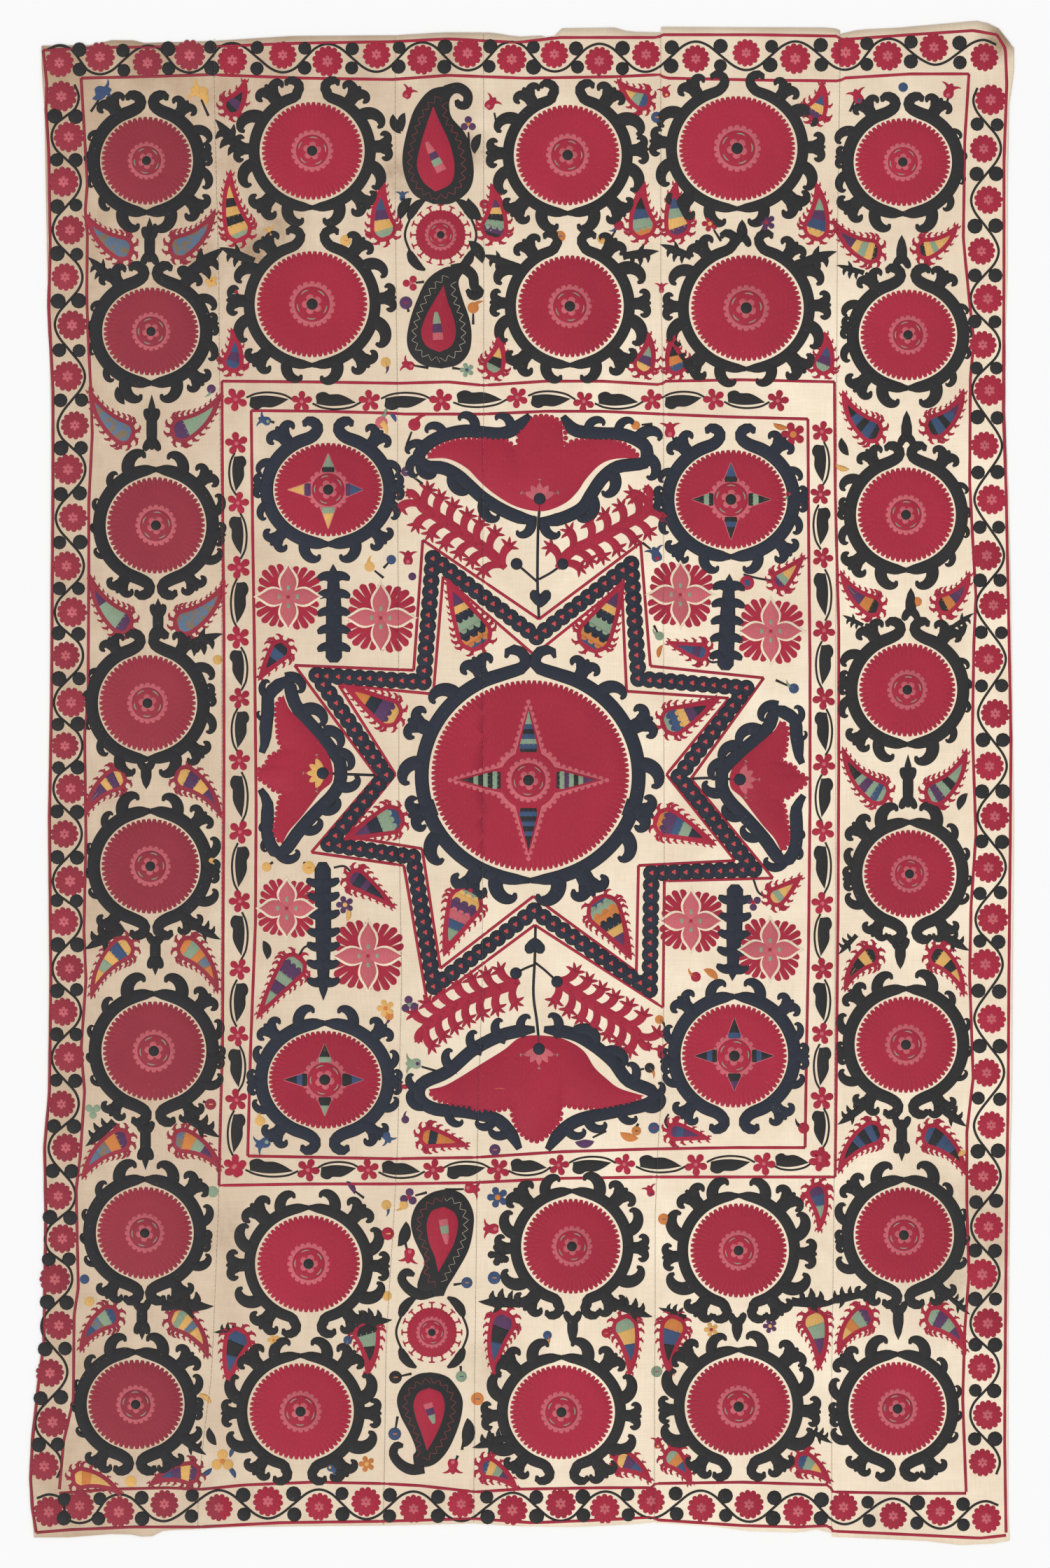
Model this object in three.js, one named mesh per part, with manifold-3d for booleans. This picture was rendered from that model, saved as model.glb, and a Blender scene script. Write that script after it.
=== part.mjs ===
// A suzani: six strips of hand-loomed cotton, embroidered in couched silk and sewn edge to edge.
// Millimetres. The cloth lies face up: +Z out of the face, +Y towards the top hem, +X to the
// right selvedge, and the origin is on the underside, below the middle.

import * as THREE from "three";
import { mergeVertices } from "three/addons/utils/BufferGeometryUtils.js";
import Module from "manifold-3d";

const wasm = await Module();
wasm.setup();

// Driving dimensions.
const CLOTH = 1.5; // thickness of the cotton with the stitches on its back
const STITCH_RISE = 0.5; // how far the couched silk stands above the cotton
const SEAM_GAP = 0.3; // between two strips that are sewn edge to edge
const NEEDLE_ROOM = 0.9; // the silk stops this far short of a strip's edge
const GRID = 1.15; // one unit of the drafter's grid that the layout is drawn on
const MIDDLE = { u: 745, v: 1119 }; // the cloth's centre on that grid, u to the right, v down

// Sizes of the motifs, in grid units.
const GUARD_LINE = 5; // width of the red guard lines
const COLLAR = { inner: 5, outer: 19 }; // the dark collar's edges, outside the rosette's disc
const QUATREFOIL = { point: 44, waist: 15 }; // from its centre to a petal's point, and between two
const ROUND_SIDES = 24; // sides of a rosette's circles
const CENTRE_SIDES = 48; // and of the large centre rosette's

// The selvedges and seams, from left to right, at heights v down the cloth.
const SIDES = ["left", "seamA", "seamB", "seamC", "seamD", "seamE", "right"];
const SIDE_ROWS = [
  { v: 30, left: 59, seamA: 306, seamB: 565, seamC: 691, seamD: 944, seamE: 1200, right: 1448 },
  { v: 100, left: 60, seamA: 306, seamB: 565, seamC: 691, seamD: 944, seamE: 1200, right: 1448 },
  { v: 160, left: 64, seamA: 307, seamB: 565, seamC: 691, seamD: 944, seamE: 1199, right: 1441 },
  { v: 280, left: 66, seamA: 310, seamB: 565, seamC: 691, seamD: 944, seamE: 1197, right: 1439 },
  { v: 400, left: 68, seamA: 313, seamB: 566, seamC: 691, seamD: 944, seamE: 1196, right: 1439 },
  { v: 590, left: 73, seamA: 314, seamB: 568, seamC: 691, seamD: 948, seamE: 1195, right: 1433 },
  { v: 700, left: 73, seamA: 316, seamB: 568, seamC: 690, seamD: 948, seamE: 1195, right: 1440 },
  { v: 830, left: 72, seamA: 317, seamB: 569, seamC: 690, seamD: 948, seamE: 1194, right: 1443 },
  { v: 1000, left: 71, seamA: 317, seamB: 570, seamC: 690, seamD: 948, seamE: 1194, right: 1446 },
  { v: 1170, left: 68, seamA: 317, seamB: 570, seamC: 690, seamD: 949, seamE: 1194, right: 1448 },
  { v: 1400, left: 70, seamA: 316, seamB: 574, seamC: 689, seamD: 949, seamE: 1193, right: 1446 },
  { v: 1565, left: 68, seamA: 315, seamB: 570, seamC: 684, seamD: 945, seamE: 1192, right: 1445 },
  { v: 1640, left: 61, seamA: 314, seamB: 568, seamC: 682, seamD: 940, seamE: 1192, right: 1443 },
  { v: 1736, left: 64, seamA: 312, seamB: 563, seamC: 681, seamD: 936, seamE: 1191, right: 1442 },
  { v: 1830, left: 62, seamA: 308, seamB: 557, seamC: 680, seamD: 936, seamE: 1190, right: 1441 },
  { v: 1911, left: 61, seamA: 305, seamB: 552, seamC: 679, seamD: 936, seamE: 1189, right: 1440 },
  { v: 1969, left: 53, seamA: 302, seamB: 551, seamC: 678, seamD: 935, seamE: 1188, right: 1440 },
  { v: 2056, left: 45, seamA: 291, seamB: 550, seamC: 678, seamD: 935, seamE: 1188, right: 1440 },
  { v: 2114, left: 41, seamA: 285, seamB: 549, seamC: 677, seamD: 935, seamE: 1188, right: 1440 },
  { v: 2158, left: 45, seamA: 283, seamB: 548, seamC: 677, seamD: 935, seamE: 1188, right: 1440 },
  { v: 2208, left: 50, seamA: 283, seamB: 548, seamC: 677, seamD: 935, seamE: 1188, right: 1442 },
];

// Each strip's two hems as [u, v], from left to right, with their small tears and steps.
const STRIPS = [
  {
    name: "strip_1",
    top: [[59, 66], [140, 65], [148, 58], [190, 58], [201, 62], [306, 59]],
    bottom: [[49, 2197], [97, 2197], [160, 2192], [190, 2193], [195, 2188], [201, 2196],
      [227, 2195], [233, 2187], [283, 2185]],
  },
  {
    name: "strip_2",
    top: [[306, 59], [418, 52], [565, 51]],
    bottom: [[283, 2185], [339, 2182], [548, 2180]],
  },
  {
    name: "strip_3",
    top: [[565, 51], [630, 47], [691, 47]],
    bottom: [[548, 2180], [677, 2177]],
  },
  {
    name: "strip_4",
    top: [[691, 47], [703, 47], [737, 53], [784, 51], [789, 58], [794, 41], [885, 40],
      [895, 46], [944, 47]],
    bottom: [[677, 2177], [740, 2181], [827, 2182], [924, 2177], [935, 2175]],
  },
  {
    name: "strip_5",
    top: [[944, 39], [1190, 40], [1200, 44]],
    bottom: [[935, 2176], [1026, 2182], [1070, 2188], [1142, 2190], [1166, 2185], [1188, 2191]],
  },
  {
    name: "strip_6",
    top: [[1200, 49], [1226, 43], [1284, 40], [1353, 34], [1398, 30], [1422, 37], [1436, 51],
      [1446, 68]],
    bottom: [[1188, 2196], [1322, 2202], [1370, 2208], [1418, 2206], [1441, 2202]],
  },
];

// The rosettes, each with its centre and its disc's radius.
const ROSETTES = [
  // the left column, from the top
  { u: 211, v: 230, r: 64 }, { u: 213, v: 477, r: 68 }, { u: 223, v: 751, r: 70 },
  { u: 211, v: 1005, r: 69 }, { u: 215, v: 1238, r: 70 }, { u: 220, v: 1502, r: 73 },
  { u: 207, v: 1762, r: 68 }, { u: 196, v: 2009, r: 70 },
  // the right column
  { u: 1289, v: 232, r: 70 }, { u: 1296, v: 476, r: 70 }, { u: 1294, v: 736, r: 69 },
  { u: 1296, v: 986, r: 69 }, { u: 1299, v: 1249, r: 65 }, { u: 1294, v: 1493, r: 71 },
  { u: 1290, v: 1764, r: 70 }, { u: 1282, v: 2013, r: 68 },
  // the two rows above the star and the two below it
  { u: 446, v: 216, r: 72 }, { u: 811, v: 222, r: 74 }, { u: 1053, v: 213, r: 81 },
  { u: 446, v: 435, r: 79 }, { u: 814, v: 438, r: 74 }, { u: 1067, v: 439, r: 76 },
  { u: 443, v: 1805, r: 72 }, { u: 816, v: 1786, r: 72 }, { u: 1053, v: 1787, r: 72 },
  { u: 429, v: 2014, r: 78 }, { u: 803, v: 2020, r: 71 }, { u: 1055, v: 2012, r: 73 },
  // the four in the corners of the star's field
  { u: 469, v: 700, r: 72 }, { u: 1044, v: 714, r: 75 }, { u: 464, v: 1543, r: 75 },
  { u: 1049, v: 1509, r: 75 },
];
const CENTRE_ROSETTE = { u: 755, v: 1113, r: 145, sides: CENTRE_SIDES };

// The frames of red line, as their outer edges.
const GUARD_FRAMES = [
  { name: "border", left: 113, right: 1389, top: 109, bottom: 2131 },
  { name: "outer frame", left: 315, right: 1196, top: 543, bottom: 1692 },
  { name: "inner frame", left: 358, right: 1157, top: 584, bottom: 1653 },
];

// The eight-pointed star band: points and inner corners in turn, of its outer and inner edge.
const STAR_OUTER = [[604, 772], [770, 885], [915, 776], [929, 952], [1091, 969], [987, 1113],
  [1104, 1255], [949, 1259], [947, 1440], [764, 1322], [611, 1436], [577, 1237], [445, 1218],
  [538, 1109], [421, 951], [591, 958]];
const STAR_INNER = [[633, 824], [763, 936], [888, 836], [895, 988], [1041, 998], [952, 1107],
  [1050, 1230], [912, 1237], [909, 1389], [762, 1281], [629, 1384], [603, 1213], [494, 1195],
  [565, 1107], [484, 979], [619, 992]];

// The red bells above, below and on each side of the star.
const BELLS = [
  [[610, 654], [660, 629], [724, 632], [742, 643], [744, 620], [774, 595], [802, 620],
    [804, 640], [860, 629], [915, 654], [870, 668], [830, 700], [774, 731], [716, 712],
    [672, 672]],
  [[610, 1559], [659, 1529], [722, 1484], [759, 1481], [800, 1488], [845, 1518], [872, 1550],
    [922, 1566], [860, 1582], [805, 1584], [792, 1612], [766, 1628], [740, 1612], [732, 1577],
    [690, 1588]],
  [[406, 993], [424, 1040], [455, 1068], [477, 1109], [455, 1150], [424, 1178], [402, 1207],
    [394, 1150], [366, 1130], [366, 1078], [396, 1052]],
  [[1114, 1030], [1120, 1084], [1150, 1096], [1150, 1132], [1120, 1144], [1111, 1218],
    [1088, 1176], [1062, 1150], [1041, 1114], [1062, 1078], [1090, 1058]],
];

const QUATREFOILS = [
  { u: 412, v: 853 }, { u: 544, v: 883 }, { u: 972, v: 850 }, { u: 1101, v: 902 },
  { u: 410, v: 1298 }, { u: 526, v: 1366 }, { u: 990, v: 1315 }, { u: 1100, v: 1356 },
];

const x = (u) => (u - MIDDLE.u) * GRID;
const y = (v) => (MIDDLE.v - v) * GRID;
const place = ([u, v]) => new THREE.Vector2(x(u), y(v));

// Where a selvedge or seam runs at height v, in grid units, straight between the rows.
function sideAt(side, v) {
  const below = SIDE_ROWS.findIndex((row) => row.v >= v);
  const next = SIDE_ROWS[Math.max(below, 1)];
  const last = SIDE_ROWS[Math.max(below, 1) - 1];
  return THREE.MathUtils.mapLinear(v, last.v, next.v, last[side], next[side]);
}

// One long edge of a strip from hem to hem, moved by inset into the strip.
function longEdge(side, fromV, toV, inset) {
  const heights = SIDE_ROWS.map((row) => row.v).filter((v) => v > fromV + GUARD_LINE);
  const stations = [fromV, ...heights.filter((v) => v < toV - GUARD_LINE), toV];
  return stations.map((v) => new THREE.Vector2(x(sideAt(side, v)) + inset, y(v)));
}

// The outline of a strip, clear of its neighbours by inset on both long edges.
function stripShape(index, inset) {
  const { top, bottom } = STRIPS[index];
  const leftEdge = longEdge(SIDES[index], top[0][1], bottom[0][1], inset);
  const rightEdge = longEdge(SIDES[index + 1], top.at(-1)[1], bottom.at(-1)[1], -inset);
  const bottomHem = bottom.slice(1, -1).map(place);
  const topHem = top.slice(1, -1).map(place).reverse();
  return new THREE.Shape([...leftEdge, ...bottomHem, ...rightEdge.reverse(), ...topHem]);
}

// A ring between two closed outlines. ExtrudeGeometry wants the outer one counter-clockwise.
function ringShape(outer, inner) {
  const ring = new THREE.Shape(THREE.ShapeUtils.isClockWise(outer) ? outer.reverse() : outer);
  ring.holes.push(new THREE.Path(inner));
  return ring;
}

function rectangle({ left, right, top, bottom }, inset) {
  const across = [left + inset, right - inset];
  const down = [top + inset, bottom - inset];
  return [[across[0], down[0]], [across[0], down[1]], [across[1], down[1]], [across[1], down[0]]]
    .map(place);
}

// A circle round a rosette's centre, outside its disc by extra grid units.
function circle({ u, v, r, sides = ROUND_SIDES }, extra) {
  return Array.from({ length: sides }, (_, step) => {
    const turn = (step * 2 * Math.PI) / sides;
    return place([u + (r + extra) * Math.cos(turn), v + (r + extra) * Math.sin(turn)]);
  });
}

const discShape = (rosette) => new THREE.Shape(circle(rosette, 0));

function collarShape(rosette) {
  return ringShape(circle(rosette, COLLAR.outer), circle(rosette, COLLAR.inner));
}

// Four petals: points and waists in turn round the centre.
function quatrefoilShape({ u, v }) {
  const corners = Array.from({ length: 8 }, (_, step) => {
    const reach = step % 2 ? QUATREFOIL.waist : QUATREFOIL.point;
    const turn = (step * Math.PI) / 4;
    return [u + reach * Math.cos(turn), v + reach * Math.sin(turn)];
  });
  return new THREE.Shape(corners.map(place));
}

// A closed mesh as a solid for joining and cutting.
function solidOf(geometry) {
  geometry.deleteAttribute("normal");
  geometry.deleteAttribute("uv");
  const merged = mergeVertices(geometry);
  return new wasm.Manifold(new wasm.Mesh({
    numProp: 3,
    vertProperties: merged.attributes.position.array,
    triVerts: new Uint32Array(merged.index.array),
  }));
}

function geometryOf(solid) {
  const mesh = solid.getMesh();
  const geometry = new THREE.BufferGeometry();
  geometry.setAttribute("position", new THREE.BufferAttribute(mesh.vertProperties, 3));
  geometry.setIndex(new THREE.BufferAttribute(mesh.triVerts, 1));
  geometry.computeVertexNormals();
  return geometry;
}

function slab(shape, bottom, top) {
  const options = { depth: top - bottom, bevelEnabled: false };
  return solidOf(new THREE.ExtrudeGeometry(shape, options).translate(0, 0, bottom));
}

// All the couched silk that stands up from the cotton, rooted halfway down in it.
function embroidery() {
  const root = CLOTH / 2;
  const crest = CLOTH + STITCH_RISE;
  const rosettes = [...ROSETTES, CENTRE_ROSETTE];
  const shapes = [
    ...rosettes.map(discShape),
    ...rosettes.map(collarShape),
    ...GUARD_FRAMES.map((frame) => ringShape(rectangle(frame, 0), rectangle(frame, GUARD_LINE))),
    ringShape(STAR_OUTER.map(place), STAR_INNER.map(place)),
    ...BELLS.map((bell) => new THREE.Shape(bell.map(place))),
    ...QUATREFOILS.map(quatrefoilShape),
  ];
  return shapes.map((shape) => slab(shape, root, crest)).reduce((all, piece) => all.add(piece));
}

function strip(index, silk) {
  const cotton = slab(stripShape(index, SEAM_GAP / 2), 0, CLOTH);
  const reach = slab(stripShape(index, NEEDLE_ROOM), 0, CLOTH + 2 * STITCH_RISE);
  const cloth = cotton.add(reach.intersect(silk));
  const material = new THREE.MeshStandardMaterial({
    color: 0xe3d5b8,
    roughness: 0.9,
    metalness: 0,
  });
  const mesh = new THREE.Mesh(geometryOf(cloth), material);
  mesh.name = STRIPS[index].name;
  return mesh;
}

const suzani = new THREE.Group();
const silk = embroidery();
STRIPS.forEach((_, index) => suzani.add(strip(index, silk)));

export default suzani;
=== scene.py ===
"""A suzani: six strips of hand-loomed cotton, couched all over in silk and sewn edge to edge.

The layout is drawn on the drafter's grid: one unit is GRID metres, u runs to the right and v down
the cloth. Motifs are worked out on that grid, given their rise above the cotton in millimetres,
cut where they cross a seam, and only then laid on the cloth in metres.
"""

import bmesh
import bpy
import numpy as np
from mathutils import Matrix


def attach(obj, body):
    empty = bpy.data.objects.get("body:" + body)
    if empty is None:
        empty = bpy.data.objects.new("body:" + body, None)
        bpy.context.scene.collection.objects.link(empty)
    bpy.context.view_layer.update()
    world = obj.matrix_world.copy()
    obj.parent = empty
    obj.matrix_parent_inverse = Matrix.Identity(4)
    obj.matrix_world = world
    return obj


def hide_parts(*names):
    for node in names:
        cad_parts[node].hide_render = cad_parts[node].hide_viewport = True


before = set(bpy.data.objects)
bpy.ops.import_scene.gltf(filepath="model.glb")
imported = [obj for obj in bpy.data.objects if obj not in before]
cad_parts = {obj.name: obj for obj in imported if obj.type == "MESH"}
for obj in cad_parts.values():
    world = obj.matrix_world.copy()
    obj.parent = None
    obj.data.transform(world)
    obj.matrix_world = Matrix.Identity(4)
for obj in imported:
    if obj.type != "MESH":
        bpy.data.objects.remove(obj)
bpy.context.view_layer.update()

GRID = 0.00115  # metres for one unit of the drafter's grid
MIDDLE_U = 745.0
MIDDLE_V = 1119.0
MM = 0.001
CLOTH_TOP = 0.0015  # height of the cotton's upper face
CLOTH_THICK = 0.0012
SWELL = 0.0005  # how far the cloth lifts in its long soft swells
RISE = 0.55  # millimetres that one layer of couched silk stands above the cotton
LAYER = 0.14  # millimetres more for each layer worked over another
SUNK = -0.15  # where a patch's edge goes into the cotton
ROOT = -0.4  # and the bottom of its stitches
EDGE = 0.9  # grid units over which a patch rounds down to its edge
SEAM_HALF = 0.2  # half the gap in the silk at a seam, in grid units
NARROW = 11.0  # grid units: a band that stays under this width has no shoulders
RING_STEP = 24.0  # grid units between the rings of a large patch
LOWEST = 0.0002  # no patch reaches lower than this above the floor
VALLEY = 0.00035  # how far the cotton dips at a seam
VALLEY_REACH = 2.2  # and how far the dip reaches to each side, in grid units
STRIP_WIDTHS = (245, 252, 120, 255, 245, 250)  # the usual width of each strip
SHARE_SCALE = 200.0  # how wide a strip is drawn while it is cut

rng = np.random.default_rng(36)
TAU = 2 * np.pi


# ---- The cotton strips' edges, on the grid ----

SIDE_NAMES = ("left", "seam_a", "seam_b", "seam_c", "seam_d", "seam_e", "right")
SEAMS = SIDE_NAMES[1:-1]
# v, and u of each side and seam there.
SIDE_ROWS = np.array([
    (30, 59, 306, 565, 691, 944, 1200, 1448), (100, 60, 306, 565, 691, 944, 1200, 1448),
    (160, 64, 307, 565, 691, 944, 1199, 1441), (280, 66, 310, 565, 691, 944, 1197, 1439),
    (400, 68, 313, 566, 691, 944, 1196, 1439), (590, 73, 314, 568, 691, 948, 1195, 1433),
    (700, 73, 316, 568, 690, 948, 1195, 1440), (830, 72, 317, 569, 690, 948, 1194, 1443),
    (1000, 71, 317, 570, 690, 948, 1194, 1446), (1170, 68, 317, 570, 690, 949, 1194, 1448),
    (1400, 70, 316, 574, 689, 949, 1193, 1446), (1565, 68, 315, 570, 684, 945, 1192, 1445),
    (1640, 61, 314, 568, 682, 940, 1192, 1443), (1736, 64, 312, 563, 681, 936, 1191, 1442),
    (1830, 62, 308, 557, 680, 936, 1190, 1441), (1911, 61, 305, 552, 679, 936, 1189, 1440),
    (1969, 53, 302, 551, 678, 935, 1188, 1440), (2056, 45, 291, 550, 678, 935, 1188, 1440),
    (2114, 41, 285, 549, 677, 935, 1188, 1440), (2158, 45, 283, 548, 677, 935, 1188, 1440),
    (2208, 50, 283, 548, 677, 935, 1188, 1442),
], float)

# The hems of each strip, as (u, v) from left to right.
TOP_HEMS = (
    ((59, 66), (140, 65), (148, 58), (190, 58), (201, 62), (306, 59)), ((306, 59), (418, 52), (565, 51)),
    ((565, 51), (630, 47), (691, 47)),
    ((691, 47), (703, 47), (737, 53), (784, 51), (789, 58), (794, 41), (885, 40), (895, 46), (944, 47)),
    ((944, 39), (1190, 40), (1200, 44)),
    ((1200, 49), (1226, 43), (1284, 40), (1353, 34), (1398, 30), (1422, 37), (1436, 51), (1446, 68)),
)
BOTTOM_HEMS = (
    ((49, 2197), (97, 2197), (160, 2192), (190, 2193), (195, 2188), (201, 2196), (227, 2195), (233, 2187),
     (283, 2185)),
    ((283, 2185), (339, 2182), (548, 2180)), ((548, 2180), (677, 2177)),
    ((677, 2177), (740, 2181), (827, 2182), (924, 2177), (935, 2175)),
    ((935, 2176), (1026, 2182), (1070, 2188), (1142, 2190), (1166, 2185), (1188, 2191)),
    ((1188, 2196), (1322, 2202), (1370, 2208), (1418, 2206), (1441, 2202)),
)


def side_at(name, v):
    """u of a selvedge or seam at height v, straight between the rows of the table."""
    return np.interp(v, SIDE_ROWS[:, 0], SIDE_ROWS[:, 1 + SIDE_NAMES.index(name)])


def to_x(u):
    return (np.asarray(u) - MIDDLE_U) * GRID


def to_y(v):
    return (MIDDLE_V - np.asarray(v)) * GRID


def lie(u, v):
    """Height of the cotton's upper face: flat, with long swells and a shallow valley at each seam."""
    swells = (
        np.sin(u / 71.0 + 1.3) * np.sin(v / 93.0)
        + 0.7 * np.sin(u / 43.0 - v / 120.0)
        + 0.5 * np.sin(u / 160.0 + v / 57.0 + 2.0)
    )
    height = CLOTH_TOP + SWELL * (swells / 2.2 + 1.0)
    for seam in SEAMS:
        off = (u - side_at(seam, v)) / VALLEY_REACH
        height = height - VALLEY * np.exp(-off * off)
    return height


# ---- Lines on the grid ----


def direction(angle):
    """Unit steps along angles, clockwise from +u."""
    return np.stack([np.cos(angle), np.sin(angle)], -1)


def heading_of(way):
    """The angles that steps (..., 2) point along."""
    return np.arctan2(way[..., 1], way[..., 0])


def size_of(way):
    """The lengths of steps (..., 2)."""
    return np.hypot(way[..., 0], way[..., 1])


def normal_of(along):
    """Unit normals to the left of a line's steps."""
    unit = along / np.maximum(size_of(along), 1e-9)[..., None]
    return np.stack([unit[..., 1], -unit[..., 0]], -1)


def around(count):
    """Even angles all round."""
    return np.arange(count) * TAU / count


def profile(count, shares, values):
    """Values at even steps of a line, straight between those given at shares of its length."""
    return np.interp(np.linspace(0, 1, count), shares, values)


def stacked(lines):
    """One line or several, as an array (k, n, 2)."""
    lines = np.asarray(lines, float)
    return lines[None] if lines.ndim == 2 else lines


def through(points, count):
    """A Catmull-Rom curve through given points, as count points at even steps along it."""
    p = np.asarray(points, float)
    q = np.vstack([2 * p[0] - p[1], p, 2 * p[-1] - p[-2]])
    t = np.linspace(0, len(p) - 1, 16 * (len(p) - 1) + 1)
    i = np.minimum(t.astype(int), len(p) - 2)
    f = (t - i)[:, None]
    a, b, c, d = q[i], q[i + 1], q[i + 2], q[i + 3]
    line = 0.5 * (
        2 * b + (c - a) * f + (2 * a - 5 * b + 4 * c - d) * f**2 + (3 * b - 3 * c + d - a) * f**3
    )
    return even(line, count)


def even(line, count):
    """The same line at even steps."""
    line = np.asarray(line, float)
    run = np.concatenate([[0], np.cumsum(size_of(np.diff(line, axis=0)))])
    s = np.linspace(0, run[-1], count)
    return np.stack([np.interp(s, run, line[:, 0]), np.interp(s, run, line[:, 1])], -1)


def length_of(line):
    return float(size_of(np.diff(np.asarray(line, float), axis=0)).sum())


def curl(start, heading, length, turn, count=12, ease=1.4):
    """Lines that leave start along heading and turn ever faster, by turn in all.

    start is (k, 2) and the rest (k,) or a number; heading is clockwise from +u, in radians.
    """
    start = np.atleast_2d(np.asarray(start, float))
    k = len(start)
    heading, length, turn = (
        np.broadcast_to(np.asarray(a, float), (k,))[:, None] for a in (heading, length, turn))
    s = np.linspace(0, 1, count)
    middle = (s[1:] + s[:-1]) / 2
    step = direction(heading + turn * middle**ease) * (length[..., None] / (count - 1))
    return start[:, None] + np.concatenate([np.zeros((k, 1, 2)), np.cumsum(step, 1)], 1)


def tapering(length, root, tip, count=12):
    """Half widths from root to tip along a line, with a round end."""
    s = np.linspace(0, 1, count)
    width = root + (tip - root) * s
    left = np.clip((1 - s) * length / width, 0, 1)
    return width * np.sqrt(1 - (1 - left) ** 2)


def spindle(count, half, power=0.8):
    """Half widths of a pointed leaf: a half sine, fuller as power falls."""
    return half * np.sin(np.linspace(0, np.pi, count)) ** power


def laid(points, at, mirror=1, up=1):
    """Points of a motif's own plan, a to the right and b towards its head, put on the grid at at."""
    p = np.asarray(points, float)
    return np.stack([at[0] + p[..., 0] * mirror, at[1] - p[..., 1] * up], -1)


# ---- Patches of silk ----


class Silk:
    """Patches of one silk, gathered and joined into one mesh.

    Every patch is a closed shell: (u, v, millimetres above the cotton), the distance to its edge
    in millimetres (rim), its own shade (tone) and its thread's run (stitch).
    """

    def __init__(self, name, slot):
        self.name = name
        self.slot = slot
        self.whole = []
        self.crossing = []

    def add(self, points, rim, stitch, faces):
        """points (k, p, 3), rim (k, p), stitch (k, p, 2); faces (f, 3 or 4) index one patch."""
        k, p = points.shape[:2]
        tone = np.repeat(rng.uniform(0, 1, (k, 1)), p, 1)
        marks = np.concatenate([points, rim[..., None], tone[..., None], stitch], -1)
        strips = strip_of(points[..., 0], points[..., 1])
        crosses = strips.min(1) != strips.max(1)
        for wanted, where in ((~crosses, self.whole), (crosses, self.crossing)):
            if wanted.any():
                where.append((marks[wanted], faces))

    @staticmethod
    def joined(parts):
        """All patches as one array of vertex marks and one list of faces for each corner count."""
        marks, faces, base = [], {3: [], 4: []}, 0
        for part, own in parts:
            k, p = part.shape[:2]
            marks.append(part.reshape(k * p, -1))
            starts = base + p * np.arange(k)[:, None, None]
            for patch in own:
                corners = patch.shape[1]
                faces[corners].append((starts + patch[None]).reshape(-1, corners))
            base += k * p
        return np.concatenate(marks), {n: np.concatenate(f) for n, f in faces.items() if f}

    def build(self, material, cut=True):
        """The finished piece; cut parts the patches at the seams they cross."""
        parts = list(self.whole)
        if cut and self.crossing:
            parts += cut_at_seams(*self.joined(self.crossing))
        elif self.crossing:
            parts += self.crossing
        piece = mesh_piece(self.name, *self.joined(parts), material)
        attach(piece, "root")


def strip_of(u, v):
    """Which strip, from 0 on the left to 5, a place on the grid is in."""
    return sum((u > side_at(seam, v)).astype(int) for seam in SEAMS)


def cut_at_seams(marks, faces):
    """The crossing patches cut at each seam they cross, each cut closed again.

    For each strip, u is first taken as a share of the strip's width at that height, so both its
    seams are straight and a plane can cut the mesh there; then the shares turn back into u.
    """
    strips = strip_of(marks[:, 0], marks[:, 1])
    parts = []
    for strip in range(strips.min(), strips.max() + 1):
        low, high = SIDE_NAMES[strip], SIDE_NAMES[strip + 1]
        straight = marks.copy()
        left = side_at(low, marks[:, 1])
        straight[:, 0] = (marks[:, 0] - left) / (side_at(high, marks[:, 1]) - left) * SHARE_SCALE
        bm = bmesh.new()
        mesh = bpy.data.meshes.new("cutting")
        fill_mesh(mesh, straight, faces)
        bm.from_mesh(mesh)
        gap = SEAM_HALF / STRIP_WIDTHS[strip] * SHARE_SCALE
        cuts = [(gap, -1.0)] if strip > 0 else []
        cuts += [(SHARE_SCALE - gap, 1.0)] if strip < len(SEAMS) else []
        for place, outward in cuts:
            bmesh.ops.bisect_plane(
                bm, geom=bm.verts[:] + bm.edges[:] + bm.faces[:], dist=1e-5,
                plane_co=(place, 0, 0), plane_no=(outward, 0, 0), clear_outer=True,
            )
            bmesh.ops.holes_fill(bm, edges=[e for e in bm.edges if e.is_boundary], sides=0)
        bmesh.ops.triangulate(bm, faces=bm.faces[:])
        bm.to_mesh(mesh)
        bm.free()
        if mesh.polygons:
            cut, own_faces = read_mesh(mesh)
            left = side_at(low, cut[0, :, 1])
            cut[0, :, 0] = left + cut[0, :, 0] / SHARE_SCALE * (side_at(high, cut[0, :, 1]) - left)
            parts.append((cut, own_faces))
        bpy.data.meshes.remove(mesh)
    return parts


VERTEX_MARKS = ("rim", "tone", "across", "run")


def fill_mesh(mesh, marks, faces):
    """Puts the vertices, faces and marks into an empty mesh."""
    loops = np.concatenate([f.ravel() for f in faces.values()])
    sizes = np.concatenate([np.full(len(f), f.shape[1]) for f in faces.values()])
    mesh.vertices.add(len(marks))
    mesh.vertices.foreach_set("co", marks[:, :3].astype(np.float32).ravel())
    mesh.loops.add(len(loops))
    mesh.loops.foreach_set("vertex_index", loops.astype(np.int32))
    mesh.polygons.add(len(sizes))
    mesh.polygons.foreach_set("loop_start", (np.cumsum(sizes) - sizes).astype(np.int32))
    mesh.update(calc_edges=True)
    for column, name in enumerate(VERTEX_MARKS, 3):
        layer = mesh.attributes.new(name, "FLOAT", "POINT")
        layer.data.foreach_set("value", marks[:, column].astype(np.float32))


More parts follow.
